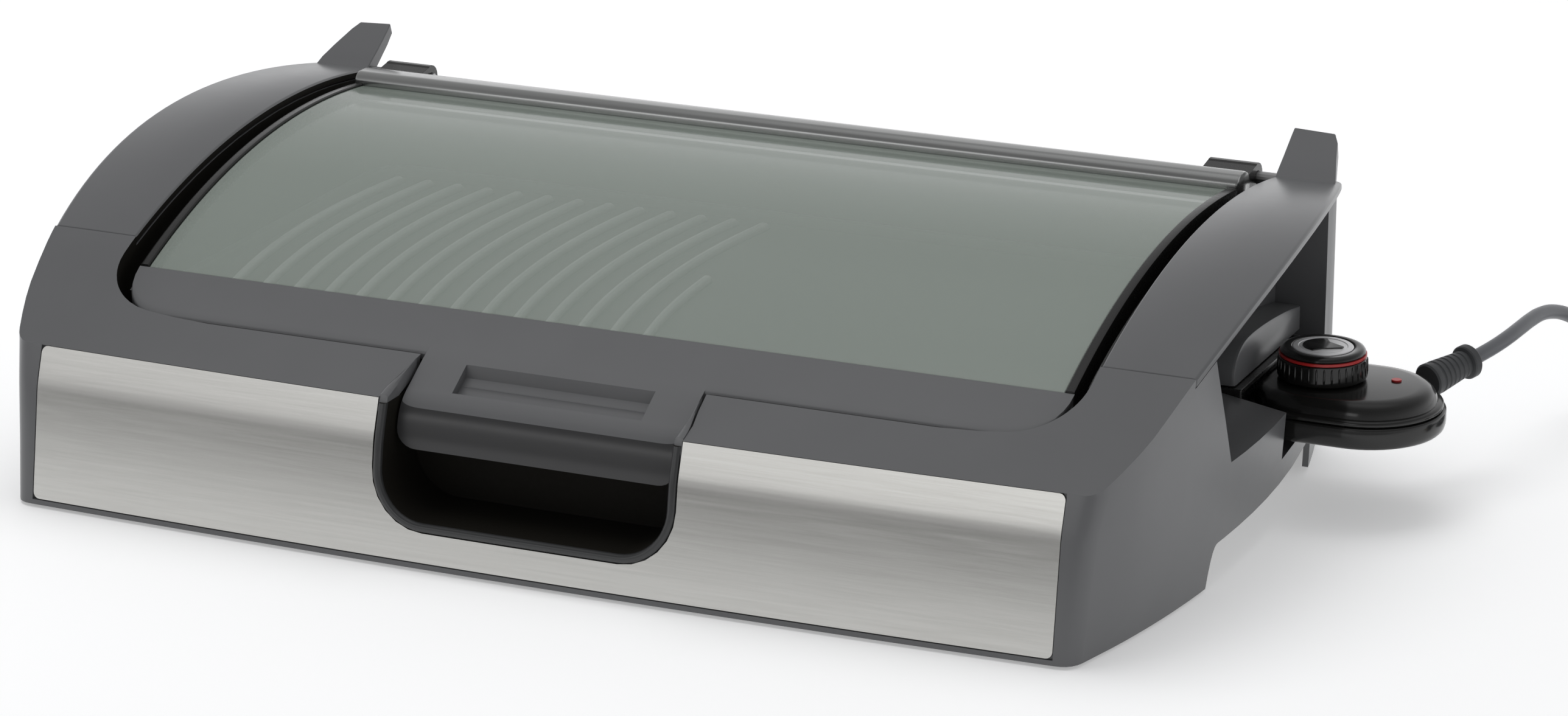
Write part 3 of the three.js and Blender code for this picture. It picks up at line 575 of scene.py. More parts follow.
def top_z(x, y):
    """Height of the deck around the lid, in front of the seam of the arches."""
    start = PANEL_TOP_Y - bow(x)
    rise = lerp(DECK_MIDDLE, DECK_SIDE, smooth(abs(x), 180, 240))
    if y <= POCKET_FRONT:
        return lerp(PANEL_TOP, rise, (y - start) / (POCKET_FRONT - start))
    span = SEAM - POCKET_FRONT
    return hermite((y - POCKET_FRONT) / span, rise, 0.512 * span, arch_top(SEAM), 0.4015 * span)


def foot_z(y):
    """Height of the skirt's edge along a side: low at the feet, raised between them."""
    if y < FRONT_FOOT_END or y > REAR_FOOT_START:
        return FOOT
    t = min((y - FRONT_FOOT_END) / 10, (REAR_FOOT_START - y) / 8, 1)
    return lerp(FOOT, SKIRT_RAISED, 1 - (1 - t) ** 2.6)


def well_curve(x, grow):
    """Height of the finger well's lower outline at x; grow moves it outwards."""
    return WELL_FLOOR - grow + corner_cut(x, WELL_HALF + grow, WELL_RADIUS + grow)


def well_stations(grow, steps=6):
    """Places across half the finger well, closer together round its corner."""
    half, radius = WELL_HALF + grow, WELL_RADIUS + grow
    return [0, 15, 30, 40] + [
        half - radius + radius * sin(pi / 2 * i / steps) for i in range(steps + 1)]


# ---- housing
# Each section runs up the wall, over the deck, down into the opening and the tub, and back underneath,
# always with the same number of points.
FRONT_ROWS = (3.5, 3.6, 30, FOLD_LOW, FOLD_HIGH, 73.3)
SIDE_ROWS = (31.7, 36, 42, 47, 55.6, 80)
PANEL_REBATE = 1.6
NOTCH_HALF, NOTCH_TOP = 74.2, 70.4  # half width of the notch at the steel and at the opening
UNDER = 4.6
POST_X = 267.8
POST_LOW = 45
EDGE_ENDS = (122, 123, 124.5, 126, 128.9, 116.7, 101.4)
STRIP_START = 82.2
WELL_GROWN = 0.3
SHADE_PAINTED_SPANS = (11, 12, 13)  # spans of a section inside the opening for the lid, painted near-black as shade


def notch_x(y):
    """Half width of the deck's notch beside the grip, at a depth."""
    return lerp(NOTCH_HALF, NOTCH_TOP, smooth(y, 17, POCKET_FRONT))


def tub_edge(x, y):
    """The edge of the tub, from the opening's floor to the underside."""
    return [(x, y, POCKET_FLOOR), (x, y, TUB_FLOOR)]


def front_wall(x, rows, rebate=PANEL_REBATE):
    """The skirt's edge and the front wall, which is set back behind the steel above its first row."""
    b = bow(x)
    foot = front_y(FOOT) - b
    wall = [(x, front_y(z) - b + d, z) for z, d in zip(rows, [0] + [rebate] * 5)]
    return [(x, foot + WALL, FOOT), (x, foot, FOOT), *wall]


def front_low(x):
    """A section of the front below the finger well."""
    b, rim_z = bow(x), well_curve(x, WELL_GROWN)
    rows = [*FRONT_ROWS[:2], *(lerp(FRONT_ROWS[1], rim_z, t) for t in (0.3, 0.55, 0.8, 0.97))]
    lip = front_y(rim_z) - b + PANEL_REBATE
    floor = [(x, y, rim_z) for y in spread(lip, POCKET_FRONT, 3)]
    under = min(TUB_FLOOR, rim_z - WALL)
    return [
        *front_wall(x, rows), *floor, (x, POCKET_FRONT, POCKET_FLOOR),
        (x, TUB_FRONT, POCKET_FLOOR), (x, TUB_FRONT, under), (x, front_y(under) - b + UNDER, under),
    ]


def pocket_corner(angle):
    """A place on the opening's front corner, from 0 at the front to 90 at the side."""
    a = radians(angle)
    return POCKET_HALF - 28 + 28 * sin(a), POCKET_FRONT + 28 - 28 * cos(a)


def deck(crest, rim_xy, notch=False):
    """The deck from the wall's crest to the rim of the opening, then down into the opening."""
    places = []
    for t in (1 / 3, 2 / 3, 1):
        x, y = lerp(crest[0], rim_xy[0], t), lerp(crest[1], rim_xy[1], t)
        if notch:
            x = notch_x(y)
        places.append((x, y, top_z(x, y)))
    rim = places[-1]
    return places + [(rim[0], rim[1], POCKET_FLOOR)]


def front_high(x, angle=0, rebate=PANEL_REBATE, notch=False):
    """A section of the front beside the finger well."""
    crest = (x, front_y(CREST) - bow(x), CREST)
    rim_xy = pocket_corner(angle) if angle else (x, POCKET_FRONT)
    under = (x, front_y(TUB_FLOOR) - bow(x) + UNDER, TUB_FLOOR)
    tub = tub_edge(min(x, TUB_HALF), TUB_FRONT)
    return [*front_wall(x, FRONT_ROWS, rebate), crest, *deck(crest, rim_xy, notch), *tub, under]


def front_corner_point(t, z, radius=8):
    """A place in plan on the front corner at a height, from the front at t 0 to the side at 1."""
    y = front_y(z)
    corner = wall_x(y, z)
    return bend(t, corner - radius, corner, wall_x(y + radius, z)), bend(t, y, y, y + radius)


def corner_section(foot, inner, forward, middle):
    """A section through a corner; forward is 1 at the front and -1 at the rear."""
    (fx, fy), (ix, iy) = foot, inner
    skirt = [(fx - WALL, fy + forward * WALL, FOOT), (fx, fy, FOOT)]
    return [*skirt, *middle, (ix - WALL, iy + forward * WALL, TUB_FLOOR)]


def front_corner(t, angle):
    """A section through the front corner."""
    wall = [(*front_corner_point(t, z), z) for z in FRONT_ROWS]
    x, y = front_corner_point(t, CREST)
    crest = (x, y, max(CREST, top_z(x, y)))
    middle = [*wall, crest, *deck(crest, pocket_corner(angle)), *tub_edge(TUB_HALF, TUB_FRONT)]
    return corner_section(front_corner_point(t, FOOT), front_corner_point(t, TUB_FLOOR), 1, middle)


def side_inside(y):
    """The inner end of a side section: the tub's edge and the underside."""
    tub_y = min(TUB_REAR, max(TUB_FRONT, y))
    return [*tub_edge(TUB_HALF, tub_y), (wall_x(y, TUB_FLOOR) - WALL, y, TUB_FLOOR)]


def side_foot(y):
    """The skirt's lower edge along a side."""
    z = foot_z(y)
    return [(wall_x(y, z) - WALL, y, z), (wall_x(y, z), y, z)]


def side_front(y, angle):
    """A section of the side between the corner and the seam."""
    q = smooth(y, 14, SEAM)
    wall = [(wall_x(y, z), y, z) for z in (lerp(a, b, q) for a, b in zip(FRONT_ROWS, SIDE_ROWS))]
    z = top_z(PANEL_HALF, y)
    crest = (wall_x(y, z), y, z)
    rim_xy = pocket_corner(angle) if angle < 90 else (POCKET_HALF, y)
    return [*side_foot(y), *wall, crest, *deck(crest, rim_xy), *side_inside(y)]


def strip(crest):
    """The top of a side under its arch cover."""
    y = crest[1]
    rim = (POCKET_HALF, y, arch_top(y) - ARCH_DROP)
    middle = [tuple(lerp(a, b, t) for a, b in zip(crest, rim)) for t in (1 / 3, 2 / 3)]
    return [*middle, rim, (POCKET_HALF, min(y, POCKET_REAR), POCKET_FLOOR)]


def side_plain(y, post=False):
    """A section of a plain stretch of side, or of the upright post behind the recess."""
    z = arch_top(y) - ARCH_DROP
    wall = [(wall_x(y, h), y, h) for h in (*SIDE_ROWS, z)]
    if post:
        wall = [(POST_X if h > POST_LOW else x, y, h) for x, y, h in wall]
    crest = wall.pop()
    return [*side_foot(y), *wall, crest, *strip(crest), *side_inside(y)]


def side_skewed(w):
    """A section between the upright one at the seam, w 0, and the recess's leaning edge, w 1."""
    ys = [lerp(STRIP_START, end, w) for end in EDGE_ENDS]
    wall = [(wall_x(y, z), y, z) for y, z in zip(ys, SIDE_ROWS)]
    z = arch_top(ys[-1]) - ARCH_DROP
    crest = (wall_x(ys[-1], z), ys[-1], z)
    return [*side_foot(ys[0]), *wall, crest, *strip(crest), *side_inside(ys[0])]


def recess_rows(y):
    """The recess floor's outer and inner heights at a depth."""
    t = (300 - wall_x(y, 54)) / 56
    inner = lerp(62, 60, (y - 146) / 160)
    return lerp(lerp(53, 50, (y - 122) / 191), inner, t), inner


def side_recess(y, socket=False, back_y=None, floor_y=None):
    """A section through the recess; floor_y and back_y place its inner floor edge and its top."""
    outer, inner = recess_rows(y)
    back_y = y if back_y is None else back_y
    floor_y = y if floor_y is None else floor_y
    if socket:
        wall = [(wall_x(y, 31.7), y, 31.7), (218.7, y, 31.7)]
        wall += [(x, y, 62.3) for x in (218.7, 230, 237, RECESS_BACK)]
    else:
        wall = [(wall_x(y, z), y, z) for z in SIDE_ROWS[:4]]
        wall += [(wall_x(y, outer), y, outer), (RECESS_BACK, floor_y, inner)]
    crest = (RECESS_BACK, back_y, arch_top(back_y) - ARCH_DROP)
    return [*side_foot(y), *wall, crest, *strip(crest), *side_inside(y)]


def rear_corner(t, post, radius=5):
    """A section through the rear corner, from the side at t 0 to the rear at 1."""
    def spot(z):
        start = BODY_REAR - radius
        first, corner = wall_x(start, z), wall_x(BODY_REAR, z)
        if post and z > POST_LOW:
            first = corner = POST_X
        return bend(t, first, corner, corner - radius), bend(t, start, BODY_REAR, BODY_REAR)

    wall = [(*spot(z), z) for z in SIDE_ROWS]
    y = spot(125)[1]
    z = arch_top(y) - ARCH_DROP
    crest = (*spot(z), z)
    middle = [*wall, crest, *strip(crest), *tub_edge(TUB_HALF, TUB_REAR)]
    return corner_section(spot(FOOT), spot(TUB_FLOOR), -1, middle)


def rear(x, shelf=True):
    """A section of the rear, with the low shelf behind the lid or without it."""
    wall = [(x, BODY_REAR, z) for z in SIDE_ROWS]
    if shelf:
        top = [(x, y, SHELF) for y in spread(BODY_REAR, POCKET_REAR, 3)]
    else:
        top = [(x, BODY_REAR, arch_top(BODY_REAR) - ARCH_DROP)] * 4
    return [
        (x, BODY_REAR - WALL, FOOT), (x, BODY_REAR, FOOT), *wall, *top, (x, POCKET_REAR, POCKET_FLOOR),
        *tub_edge(min(x, TUB_HALF), TUB_REAR), (x, BODY_REAR - WALL, TUB_FLOOR),
    ]


SEAM_STATIONS = (0, 0.35, 0.6, 0.749, 0.79, 0.83, 0.87, 0.91, 0.95, 1)  # closer together over the front foot
FOOT_STATIONS = (275, 277, 279, 281, 282.4, 283.2)  # and over the rear one
CORNER_STATIONS = ((30, 62), (39, 68), (48, 74), (60, 81), (71.4, 90), (78, 90), (STRIP_START, 90))


def half_ring(with_recess):
    """Sections from the middle of the front round one side to the middle of the rear."""
    panel_end = PANEL_HALF + 0.4
    ring = [front_low(x) for x in well_stations(WELL_GROWN)]
    ring += [front_high(NOTCH_HALF, notch=True)]
    ring += [front_high(x) for x in (84, 100, 125, 150, 180, 198, 211.3)]
    ring += [front_high(x, angle) for x, angle in ((225, 12), (238, 22), (panel_end, 30))]
    ring += [front_high(panel_end, 30, rebate=0)]
    ring += [front_corner(t / 5, 35 + 4 * t) for t in range(6)]
    ring += [side_front(y, angle) for y, angle in CORNER_STATIONS]
    if with_recess:
        ring += [side_skewed(w) for w in SEAM_STATIONS]
        ring += [side_recess(128.9, back_y=123.6, floor_y=146)]
        ring += [side_recess(y) for y in (146, 165, 185, 205.7)]
        ring += [side_recess(y, socket=True) for y in (205.7, 230, 262, *FOOT_STATIONS, 294.3)]
        ring += [side_recess(y) for y in (294.3, 306)]
        ring += [side_plain(y, post=True) for y in (309.2, 314)]
    else:
        ring += [side_plain(STRIP_START + 39.8 * w) for w in SEAM_STATIONS]
        ring += [side_plain(y) for y in (*range(140, 261, 20), *FOOT_STATIONS, 294, 305, 314)]
    ring += [rear_corner(t / 3, with_recess) for t in range(4)]
    ring += [rear(POCKET_HALF, shelf=False)]
    ring += [rear(x) for x in (POCKET_HALF, TUB_HALF, 150, 75, 0)]
    return ring


def socket_arch():
    """The raised arch on the recess's back wall, over the socket."""
    base = 62.6
    crown = through([
        (208, 69), (211, 74.5), (217, 78.6), (227, 80.8), (245, 80.6), (265, 79), (285, 76.6), (303, 73.5)])
    outline = [(208, base), (303, base), *reversed(crown)]
    rows = []
    for out, shrink in ((-1, 0), (12.2, 0), (13.5, 0.6), (14, 2)):
        x = RECESS_BACK + out
        rows.append([(x, lerp(y, 255, shrink / 50), lerp(z, base, shrink / 22)) for y, z in outline])
    return skin(rows)


def make_housing():
    right, left = half_ring(True), half_ring(False)
    rows = right + [mirrored(row) for row in reversed(left)][1:-1]
    points, faces, _ = skin(rows, loop=True)
    count = len(right[0])
    # the faces inside the lid's opening get the painted shade
    marks = [1 if i % count in SHADE_PAINTED_SPANS else 0 for i in range(len(faces))]
    shells = [(points, faces, marks), socket_arch()]
    piece(
        "housing_shell", shells, ["housing_plastic", "cavity_black"], 38,
        "base", "housing_plastic", ("base_housing",), (0.7, 2, 38))


# ---- arches with their hinge fins
FIN_ROWS = [
    [(239.9, 306, 128.8), (269.5, 306, 128.6), (269.5, 311, 130.2), (239.9, 311, 130.8)],
    [(239.9, 313, 128.6), (268.4, 313, 128), (268.2, 317.5, 134.4), (239.9, 317.5, 135)],
    [(239.9, 322, 129.2), (267, 322, 128.4), (265.4, 326, 139), (239.9, 325, 139.5)],
    [(240, 335, 138.4), (263.2, 336, 137), (262, 338, 144.4), (240, 335.4, 146.4)],
    [(240.2, 341, 143.5), (259, 343, 142), (259.3, 342.8, 147), (240.2, 339, 149)],
]
ARCH_START = SEAM + 0.15


def arch_row(y):
    """A section of an arch cover, from its inner edge over the top to its outer edge."""
    z = arch_top(y)
    x = wall_x(y, z)
    inner = [(239.6, y, z - 4), (239.6, y, z - 0.9), (239.9, y, z - 0.25), (240.6, y, z)]
    outer = [(x - 2.2, y, z), (x - 0.8, y, z - 0.3), (x - 0.15, y, z - 1.1), (x, y, z - 2.2), (x, y, z - 4)]
    return inner + [(lerp(240, x, 0.5), y, z)] + outer


def make_arch(name, side):
    """An arch cover with its fin; its inner edge and underside are painted dark as shade."""
    cover = [arch_row(y) for y in spread(ARCH_START, BODY_REAR, 30)]
    cover, fin = ([[(side * x, y, z) for x, y, z in row] for row in part] for part in (cover, FIN_ROWS))
    points, faces, _ = skin(cover)
    count = len(cover[0])
    walls = (len(cover) - 1) * count
    # painted shade on the inner edge and the underside
    marks = [1 if i % count in (0, count - 1) and i < walls else 0 for i in range(len(faces))]
    shells = [(points, faces, marks), skin(fin)]
    piece(
        f"arch_cover_{name}", shells, ["housing_plastic", "cavity_black"], 30,
        "base", "housing_plastic", (f"side_arch_{name}",), (0.9, 3, 36))


# ---- steel front
SHEET_TOP = 73.6
SHEET_THICK = 1.1
SHEET_CORNER = 3
SHEET_ROWS = (PANEL_FOOT, 12, 22, 32, 42, 50, 53, 55, 56.5, 58, 60, 64, 69, SHEET_TOP)


def sheet_section(x, low=PANEL_FOOT, high=SHEET_TOP):
    """A section of the steel sheet between two heights, up its face and down its back."""
    height = SHEET_TOP - PANEL_FOOT
    zs = [lerp(low, high, (z - PANEL_FOOT) / height) for z in SHEET_ROWS]
    face = [(x, front_y(z) - bow(x) + 0.2, z) for z in zs]
    return face + [(x, y + SHEET_THICK, z) for _, y, z in reversed(face)]


def make_front_panel():
    """The steel sheet with rounded corners and the notch round the finger well."""
    rows = []
    for x in (250, 249.8, 249.1, 248.1, 247):
        cut = corner_cut(x, PANEL_HALF, SHEET_CORNER)
        rows.append(sheet_section(-x, PANEL_FOOT + cut, SHEET_TOP - cut))
    notch = well_stations(0.5)
    rows += [sheet_section(x) for x in (-230, -200, -170, -140, -110, -85, -notch[-1])]
    beside = len(rows)
    middle = [-x for x in reversed(notch)] + notch[1:]
    rows += [sheet_section(x, high=well_curve(x, 0.5)) for x in middle]
    rows += [mirrored(row) for row in reversed(rows[:beside])]
    piece(
        "steel_front", [skin(rows)], ["front_steel"], 32,
        "base", "front_steel", ("front_panel",), (0.3, 2, 50))


# ---- finger well
def notch_trim(side):
    """The rim's upper end, which narrows along the edge of the deck beside the grip."""
    rows = []
    for y in spread(12.6, 43, 12):
        outer, inner = notch_x(y) - 0.1, NOTCH_TOP - 0.25
        z = top_z(70, y) if y > 14 else FOLD_HIGH + (y - FOLD_HIGH_Y) / SLOPE_HIGH
        section = [
            (outer, z - 7), (outer, z - 0.7), (lerp(outer, inner, 0.3), z - 0.15),
            (lerp(outer, inner, 0.7), z - 0.3), (inner, z - 1.4), (inner, z - 7),
        ]
        rows.append([(side * x, y - bow(74), height) for x, height in section])
    points, faces, _ = skin(rows)
    return points, faces, [2] * len(faces)


def make_finger_well():
    """The U-shaped liner behind the lid's grip, with a rounded rim standing proud of the steel."""
    # Each place of the path has the direction inwards from it, as u along x and v upwards.
    path = [(-WELL_HALF, z, 1, 0) for z in (71.6, 66, 60, 54, 49)]
    corner = (-WELL_HALF + WELL_RADIUS, WELL_FLOOR + WELL_RADIUS)
    for degrees in spread(180, 270, 12):
        a = radians(degrees)
        path.append((*on_circle(corner, WELL_RADIUS, a), -cos(a), -sin(a)))
    path += [(x, WELL_FLOOR, 0, 1) for x in (-30, -15)]
    path += [(0, WELL_FLOOR, 0, 1)] + [(-x, z, -u, v) for x, z, u, v in reversed(path)]
    rows = []
    for x, z, u, v in path:
        face = front_y(z) - bow(x)
        rear_y = lerp(40, 27, smooth(z, 62, 70))
        section = [
            (0, rear_y), (0, face + 1), (0.25, face - 0.2), (0.9, face - 0.8), (1.9, face - 1),
            (2.9, face - 0.8), (3.7, face - 0.1), (4, face + 1.4), (4, face + 5), (4, rear_y),
        ]
        rows.append([(x + u * o, y, z + v * o) for o, y in section])
    points, faces, _ = skin(rows)
    count = len(rows[0])
    walls = (len(rows) - 1) * count
    # the rim's faces wear the trim plastic; the rest of the liner, inside the well, is black plastic painted
    # darker still as shade
    marks = [0 if 1 <= i % count <= 6 and i < walls else 1 for i in range(len(faces))]
    inner = [(x + u * 3.9, z + v * 3.9) for x, z, u, v in path if z <= 64]
    back = skin([[(x, y, z) for x, z in inner] for y in (36, 40)], mark=1)
    shells = [(points, faces, marks), back, *(notch_trim(side) for side in (-1, 1))]
    piece(
        "well_liner", shells, ["trim_plastic", "cavity_black", "housing_plastic"], 40,
        "base", "black_plastic", ("finger_well",), (0.5, 2, 45))


SIDES = (("left", -1), ("right", 1))
make_housing()
for side_name, side_sign in SIDES:
    make_arch(side_name, side_sign)
make_front_panel()
make_finger_well()

# ---- lid
GLASS_RADIUS = 391.5
GLASS_HALF = 226.7
GLASS_FRONT, GLASS_REAR = 72.2, 283
LID_HALF = 231.5
LID_FRONT = 45.2
TONGUE_HALF = 68.5
THUMB_HALF = 46.5
LIP_FOLD = 66.5
LIP_LOW, LIP_HIGH = 49.7, 74.1
LIP_CORNER = 9
LID_CORNER = 25
STRIP_REAR = 71.9
# Side views of the grip: its outer face, its inner face, and its top with the thumb recess and without it.
LIP_OUTER = through([
    (15, LIP_LOW), (15, 54), (15.8, 59), (17.5, 64.5), (20.5, 69.2), (24.5, 72.6), (27, LIP_HIGH)])
LIP_INNER = [(45.7, 75.2), (37, 71), (30, 67.5), (24.5, 65), (20.6, 60.5), (19, 55), (18.6, LIP_LOW)]
THUMB_FLOOR = [
    (27, LIP_HIGH), (27.3, 71.4), (33, 72.6), (35.4, 74), (35.9, 74.7), (36.6, 74.6), (40.6, 77.2),
    (41.8, 83),
]
THUMB_LEVEL = [
    (27, LIP_HIGH), (28.5, 75), (33, 77.7), (35.4, 79.2), (35.9, 79.5), (36.6, 79.9), (40.6, 82.3),
    (41.8, 83),
]
STRIP_YS = (44.7, 48, 52, 56, 60, 64, 68, STRIP_REAR)


def glass_top(y, lower=0.0):
    """Height of the glass at a depth, on its top face or lower in its thickness."""
    return -257.1 + sqrt((GLASS_RADIUS - lower) ** 2 - (y - 238) ** 2)


def make_glass():
    ys = spread(GLASS_FRONT, GLASS_REAR, 60)
    outline = [(y, glass_top(y)) for y in ys] + [(y, glass_top(y, 4)) for y in reversed(ys)]
    rows = [[(x, y, z) for y, z in outline] for x in (-GLASS_HALF, -120, 0, 120, GLASS_HALF)]
    piece(
        "glass_pane", [skin(rows)], ["lid_glass"], 30,
        "lid", "lid_glass", ("lid_glass",), (0.5, 2, 50))


def make_side_frame(name, side):
    inner, outer = GLASS_HALF + 0.3, LID_HALF
    rows = []
    for y in spread(GLASS_FRONT, GLASS_REAR, 48):
        top, low = glass_top(y) + 1, glass_top(y, 9)
        section = [
            (inner, low), (inner, top - 0.5), (inner + 0.5, top), (outer - 1.2, top),
            (outer - 0.3, top - 0.4), (outer, top - 1.3), (outer, low),
        ]
        rows.append([(side * x, y, z) for x, z in section])
    piece(
        f"pane_edge_{name}", [skin(rows)], ["black_plastic"], 40,
        "lid", "black_plastic", (f"lid_side_frame_{name}",))


def strip_top(y):
    """Height of the strip between the deck and the glass."""
    t = (y - LID_FRONT) / (STRIP_REAR - LID_FRONT)
    return 84.8 + 10.72 * t + 2.04 * t * t


def strip_front(x):
    """The strip's front edge, with the lid's rounded corner."""
    return LID_FRONT + corner_cut(x, LID_HALF, LID_CORNER)


def grip_profile(x, start, thumb):
    """Front, top and underside of a section through the grip, whose lower corners are rounded."""
    lift = corner_cut(x, TONGUE_HALF, LIP_CORNER)

    def raised(point):
        y, z = point
        t = max(0.0, min(1.0, (z - LIP_LOW) / (LIP_HIGH - LIP_LOW)))
        return point if lift == 0 else lip_at(y, z + lift * (1 - t), point in LIP_INNER)

    front = [raised(p) for p in LIP_OUTER[:-1]] + (THUMB_FLOOR if thumb else THUMB_LEVEL)
    under = [(45.8, 81.6)] + [raised(p) for p in LIP_INNER]
    ys = [max(y, start) for y in STRIP_YS]
    top = [(y, strip_top(y)) for y in ys]
    return front, top, under


def edge_profile(start):
    """The same three parts of a section beside the grip, with as many points."""
    z = strip_top(start)
    count = len(LIP_OUTER) + len(THUMB_LEVEL) - 4
    front = [(start, z - 2.6)] * count + [(start, z - 1), (start + 0.12, z - 0.5), (start + 0.45, z - 0.12)]
    under = [(start, z - 3.4)] * (len(LIP_INNER) + 1)
    ys = spread(start + 1, STRIP_REAR, 7)
    top = [(y, strip_top(y)) for y in ys]
    return front, top, under


def strip_section(x, tongue, thumb=False):
    """A section of the lid's front frame, through the grip or beside it."""
    start = strip_front(x)
    front, top, under = grip_profile(x, start, thumb) if tongue else edge_profile(start)
    rear_edge = [(STRIP_REAR, strip_top(STRIP_REAR) - 4.6), (62, strip_top(62) - 3.8)]
    return [(x, y, z) for y, z in front + top + rear_edge + under]


def lip_at(y, z, inner):
    """The place on the lip's outer or inner face at a height."""
    line = sorted(LIP_INNER if inner else LIP_OUTER, key=lambda p: p[1])
    for (y0, z0), (y1, z1) in zip(line, line[1:]):
        if z <= z1:
            return lerp(y0, y1, max(0.0, (z - z0) / max(1e-6, z1 - z0))), z
    return y, z


def corner_stations(half, radius, step):
    """Places along x round a corner of a radius, from the end inwards."""
    return [half - radius + radius * sin(radians(a)) for a in range(90, -1, -step)]


def make_front_frame():
    """The strip in front of the glass with the grip, whose face below its fold is painted darker as shade."""
    corner = corner_stations(LID_HALF, LID_CORNER, 10)
    tongue = corner_stations(TONGUE_HALF, LIP_CORNER, 15)
    rows = [strip_section(-x, False) for x in corner + [180, 140, 100, TONGUE_HALF]]
    rows += [strip_section(-x, True) for x in tongue + [THUMB_HALF]]
    rows += [strip_section(x, True, thumb=True) for x in (-THUMB_HALF, -20, 0)]
    rows += [mirrored(row) for row in reversed(rows[:-1])]
    points, faces, _ = skin(rows)
    fold = sum(z < LIP_FOLD for _, z in LIP_OUTER)
    # the grip's front faces below the fold get the painted shade
    painted_shade_below_fold = [int(face[0] % len(rows[0]) < fold) for face in faces]
    piece(
        "lid_front", [(points, faces, painted_shade_below_fold)], ["lid_plastic", "lip_plastic"], 40,
        "lid", "lid_plastic", ("lid_front_frame",), (0.6, 3, 42))


def make_rail():
    """The rail behind the glass, with its ends rounded over."""
    y0 = GLASS_REAR + 0.3
    outline = [
        (y0, 125.5), (y0, 135), (y0 + 3, 138), (y0 + 12, 138.2), (y0 + 17, 136), (y0 + 19, 131),
        (y0 + 18, 126), (y0 + 13, 123.5), (y0 + 4, 123.5),
    ]
    line = rounded(outline, [1, 2, 3, 5, 5, 5, 5, 4, 4], 5)
    middle = Vector((y0 + 9, 131))
    rows = []
    for x, shrink in ((-LID_HALF, 1.2), (-LID_HALF + 0.4, 0.4), (-LID_HALF + 1.4, 0), (0, 0)):
        rows.append([(x, *(Vector(p) + (middle - Vector(p)).normalized() * shrink)) for p in line])
    rows += [mirrored(row) for row in reversed(rows[:-1])]
    piece("rear_rail", [skin(rows)], ["rail_plastic"], 40, "lid", "lid_plastic", ("lid_rear_rail",))


# ---- cooking plate
PLATE_TOP = 83.5
PLATE_HALF, PLATE_FRONT, PLATE_REAR, PLATE_CORNER = 225, 66, 300, 14
RIB_FRONT, RIB_REAR, SHORT_RIB_END = 78, 286, 197
RIBS = 14
RIB_BOW = 36
RIB_RUN_OUT = 4.5
RIB_CROWN = ((-2.5, -0.5), (-2.2, 1.6), (-1.5, 3.2), (-0.6, 4), (0.6, 4), (1.5, 3.2), (2.2, 1.6), (2.5, -0.5))


def rib_x(i, y):
    """Where a rib's centre line is at a depth, bowed to the left."""
    t = (y - 105) / 183
    return lerp(12.5 - 16.3 * i, 9.1 - 16.6 * i, t) - RIB_BOW * t * (1 - t)


def make_rib(i):
    """One rib with a rounded crown and ends that run out into the plate."""
    end = SHORT_RIB_END if i == 0 else RIB_REAR
    first, last = RIB_FRONT + RIB_RUN_OUT, end - RIB_RUN_OUT
    places = [(RIB_FRONT, 0.02), (RIB_FRONT + 0.6, 0.5), (RIB_FRONT + 2, 0.85), (first, 1)]
    places += [(y, 1) for y in spread(first, last, 16)[1:-1]]
    places += [(last, 1), (end - 2, 0.85), (end - 0.6, 0.5), (end, 0.02)]
    rows = []
    for y, scale in places:
        x, width = rib_x(i, y), 0.55 + 0.45 * scale
        rows.append([(x + u * width, y, PLATE_TOP + (v * scale if v > 0 else v)) for u, v in RIB_CROWN])
    return skin(rows, mark=1)


def make_plate():
    """The cast plate: its rim, the sunk cooking face, and the ribs."""
    levels = [
        (77.5, 1), (78.1, 0.2), (79, 0), (87.6, 0), (88.3, 0.4), (88.5, 1.2), (88.5, 3.8), (88.2, 4.6),
        (87.4, 5), (84.4, 5.2), (83.7, 5.6), (PLATE_TOP, 6.6),
    ]
    rows = []
    for z, inset in levels:
        x, front, back = PLATE_HALF - inset, PLATE_FRONT + inset, PLATE_REAR - inset
        radius = max(PLATE_CORNER - inset, 4) * 1.4
        corners = rounded([(-x, front), (x, front), (x, back), (-x, back)], [radius] * 4, 6)
        rows.append([(u, v, z) for u, v in corners])
    # the ribs wear the coating with painted highlights on their crowns
    shells = [skin(rows)] + [make_rib(i) for i in range(RIBS)]
    piece(
        "cooking_plate", shells, ["plate_coating", "rib_coating"], 40,
        "base", "plate_coating", ("grill_plate",))


# ---- plug-in control
CONTROL_Y, CONTROL_END, CONTROL_START, CONTROL_RADIUS = 250, 307, 258, 37
KNOB_AT = (286, 250, 0)


def control_outline(inset, z):
    """Plan of the control at a height: square towards the socket, round at the free end."""
    r, x0 = CONTROL_RADIUS - inset, CONTROL_START + min(inset, 4)
    centre = (CONTROL_END, CONTROL_Y)
    round_end = [(*on_circle(centre, r, radians(a)), z) for a in spread(-90, 90, 28)]
    straight = [(lerp(x0 + 8, CONTROL_END, t), CONTROL_Y + s * r, z) for s, t in ((1, 0.5), (1, 0))]
    square = [(x0, CONTROL_Y + r - 8, z), (x0, CONTROL_Y - r + 8, z), (x0 + 8, CONTROL_Y - r, z)]
    return round_end + straight + square + [(lerp(x0 + 8, CONTROL_END, 0.5), CONTROL_Y - r, z)]


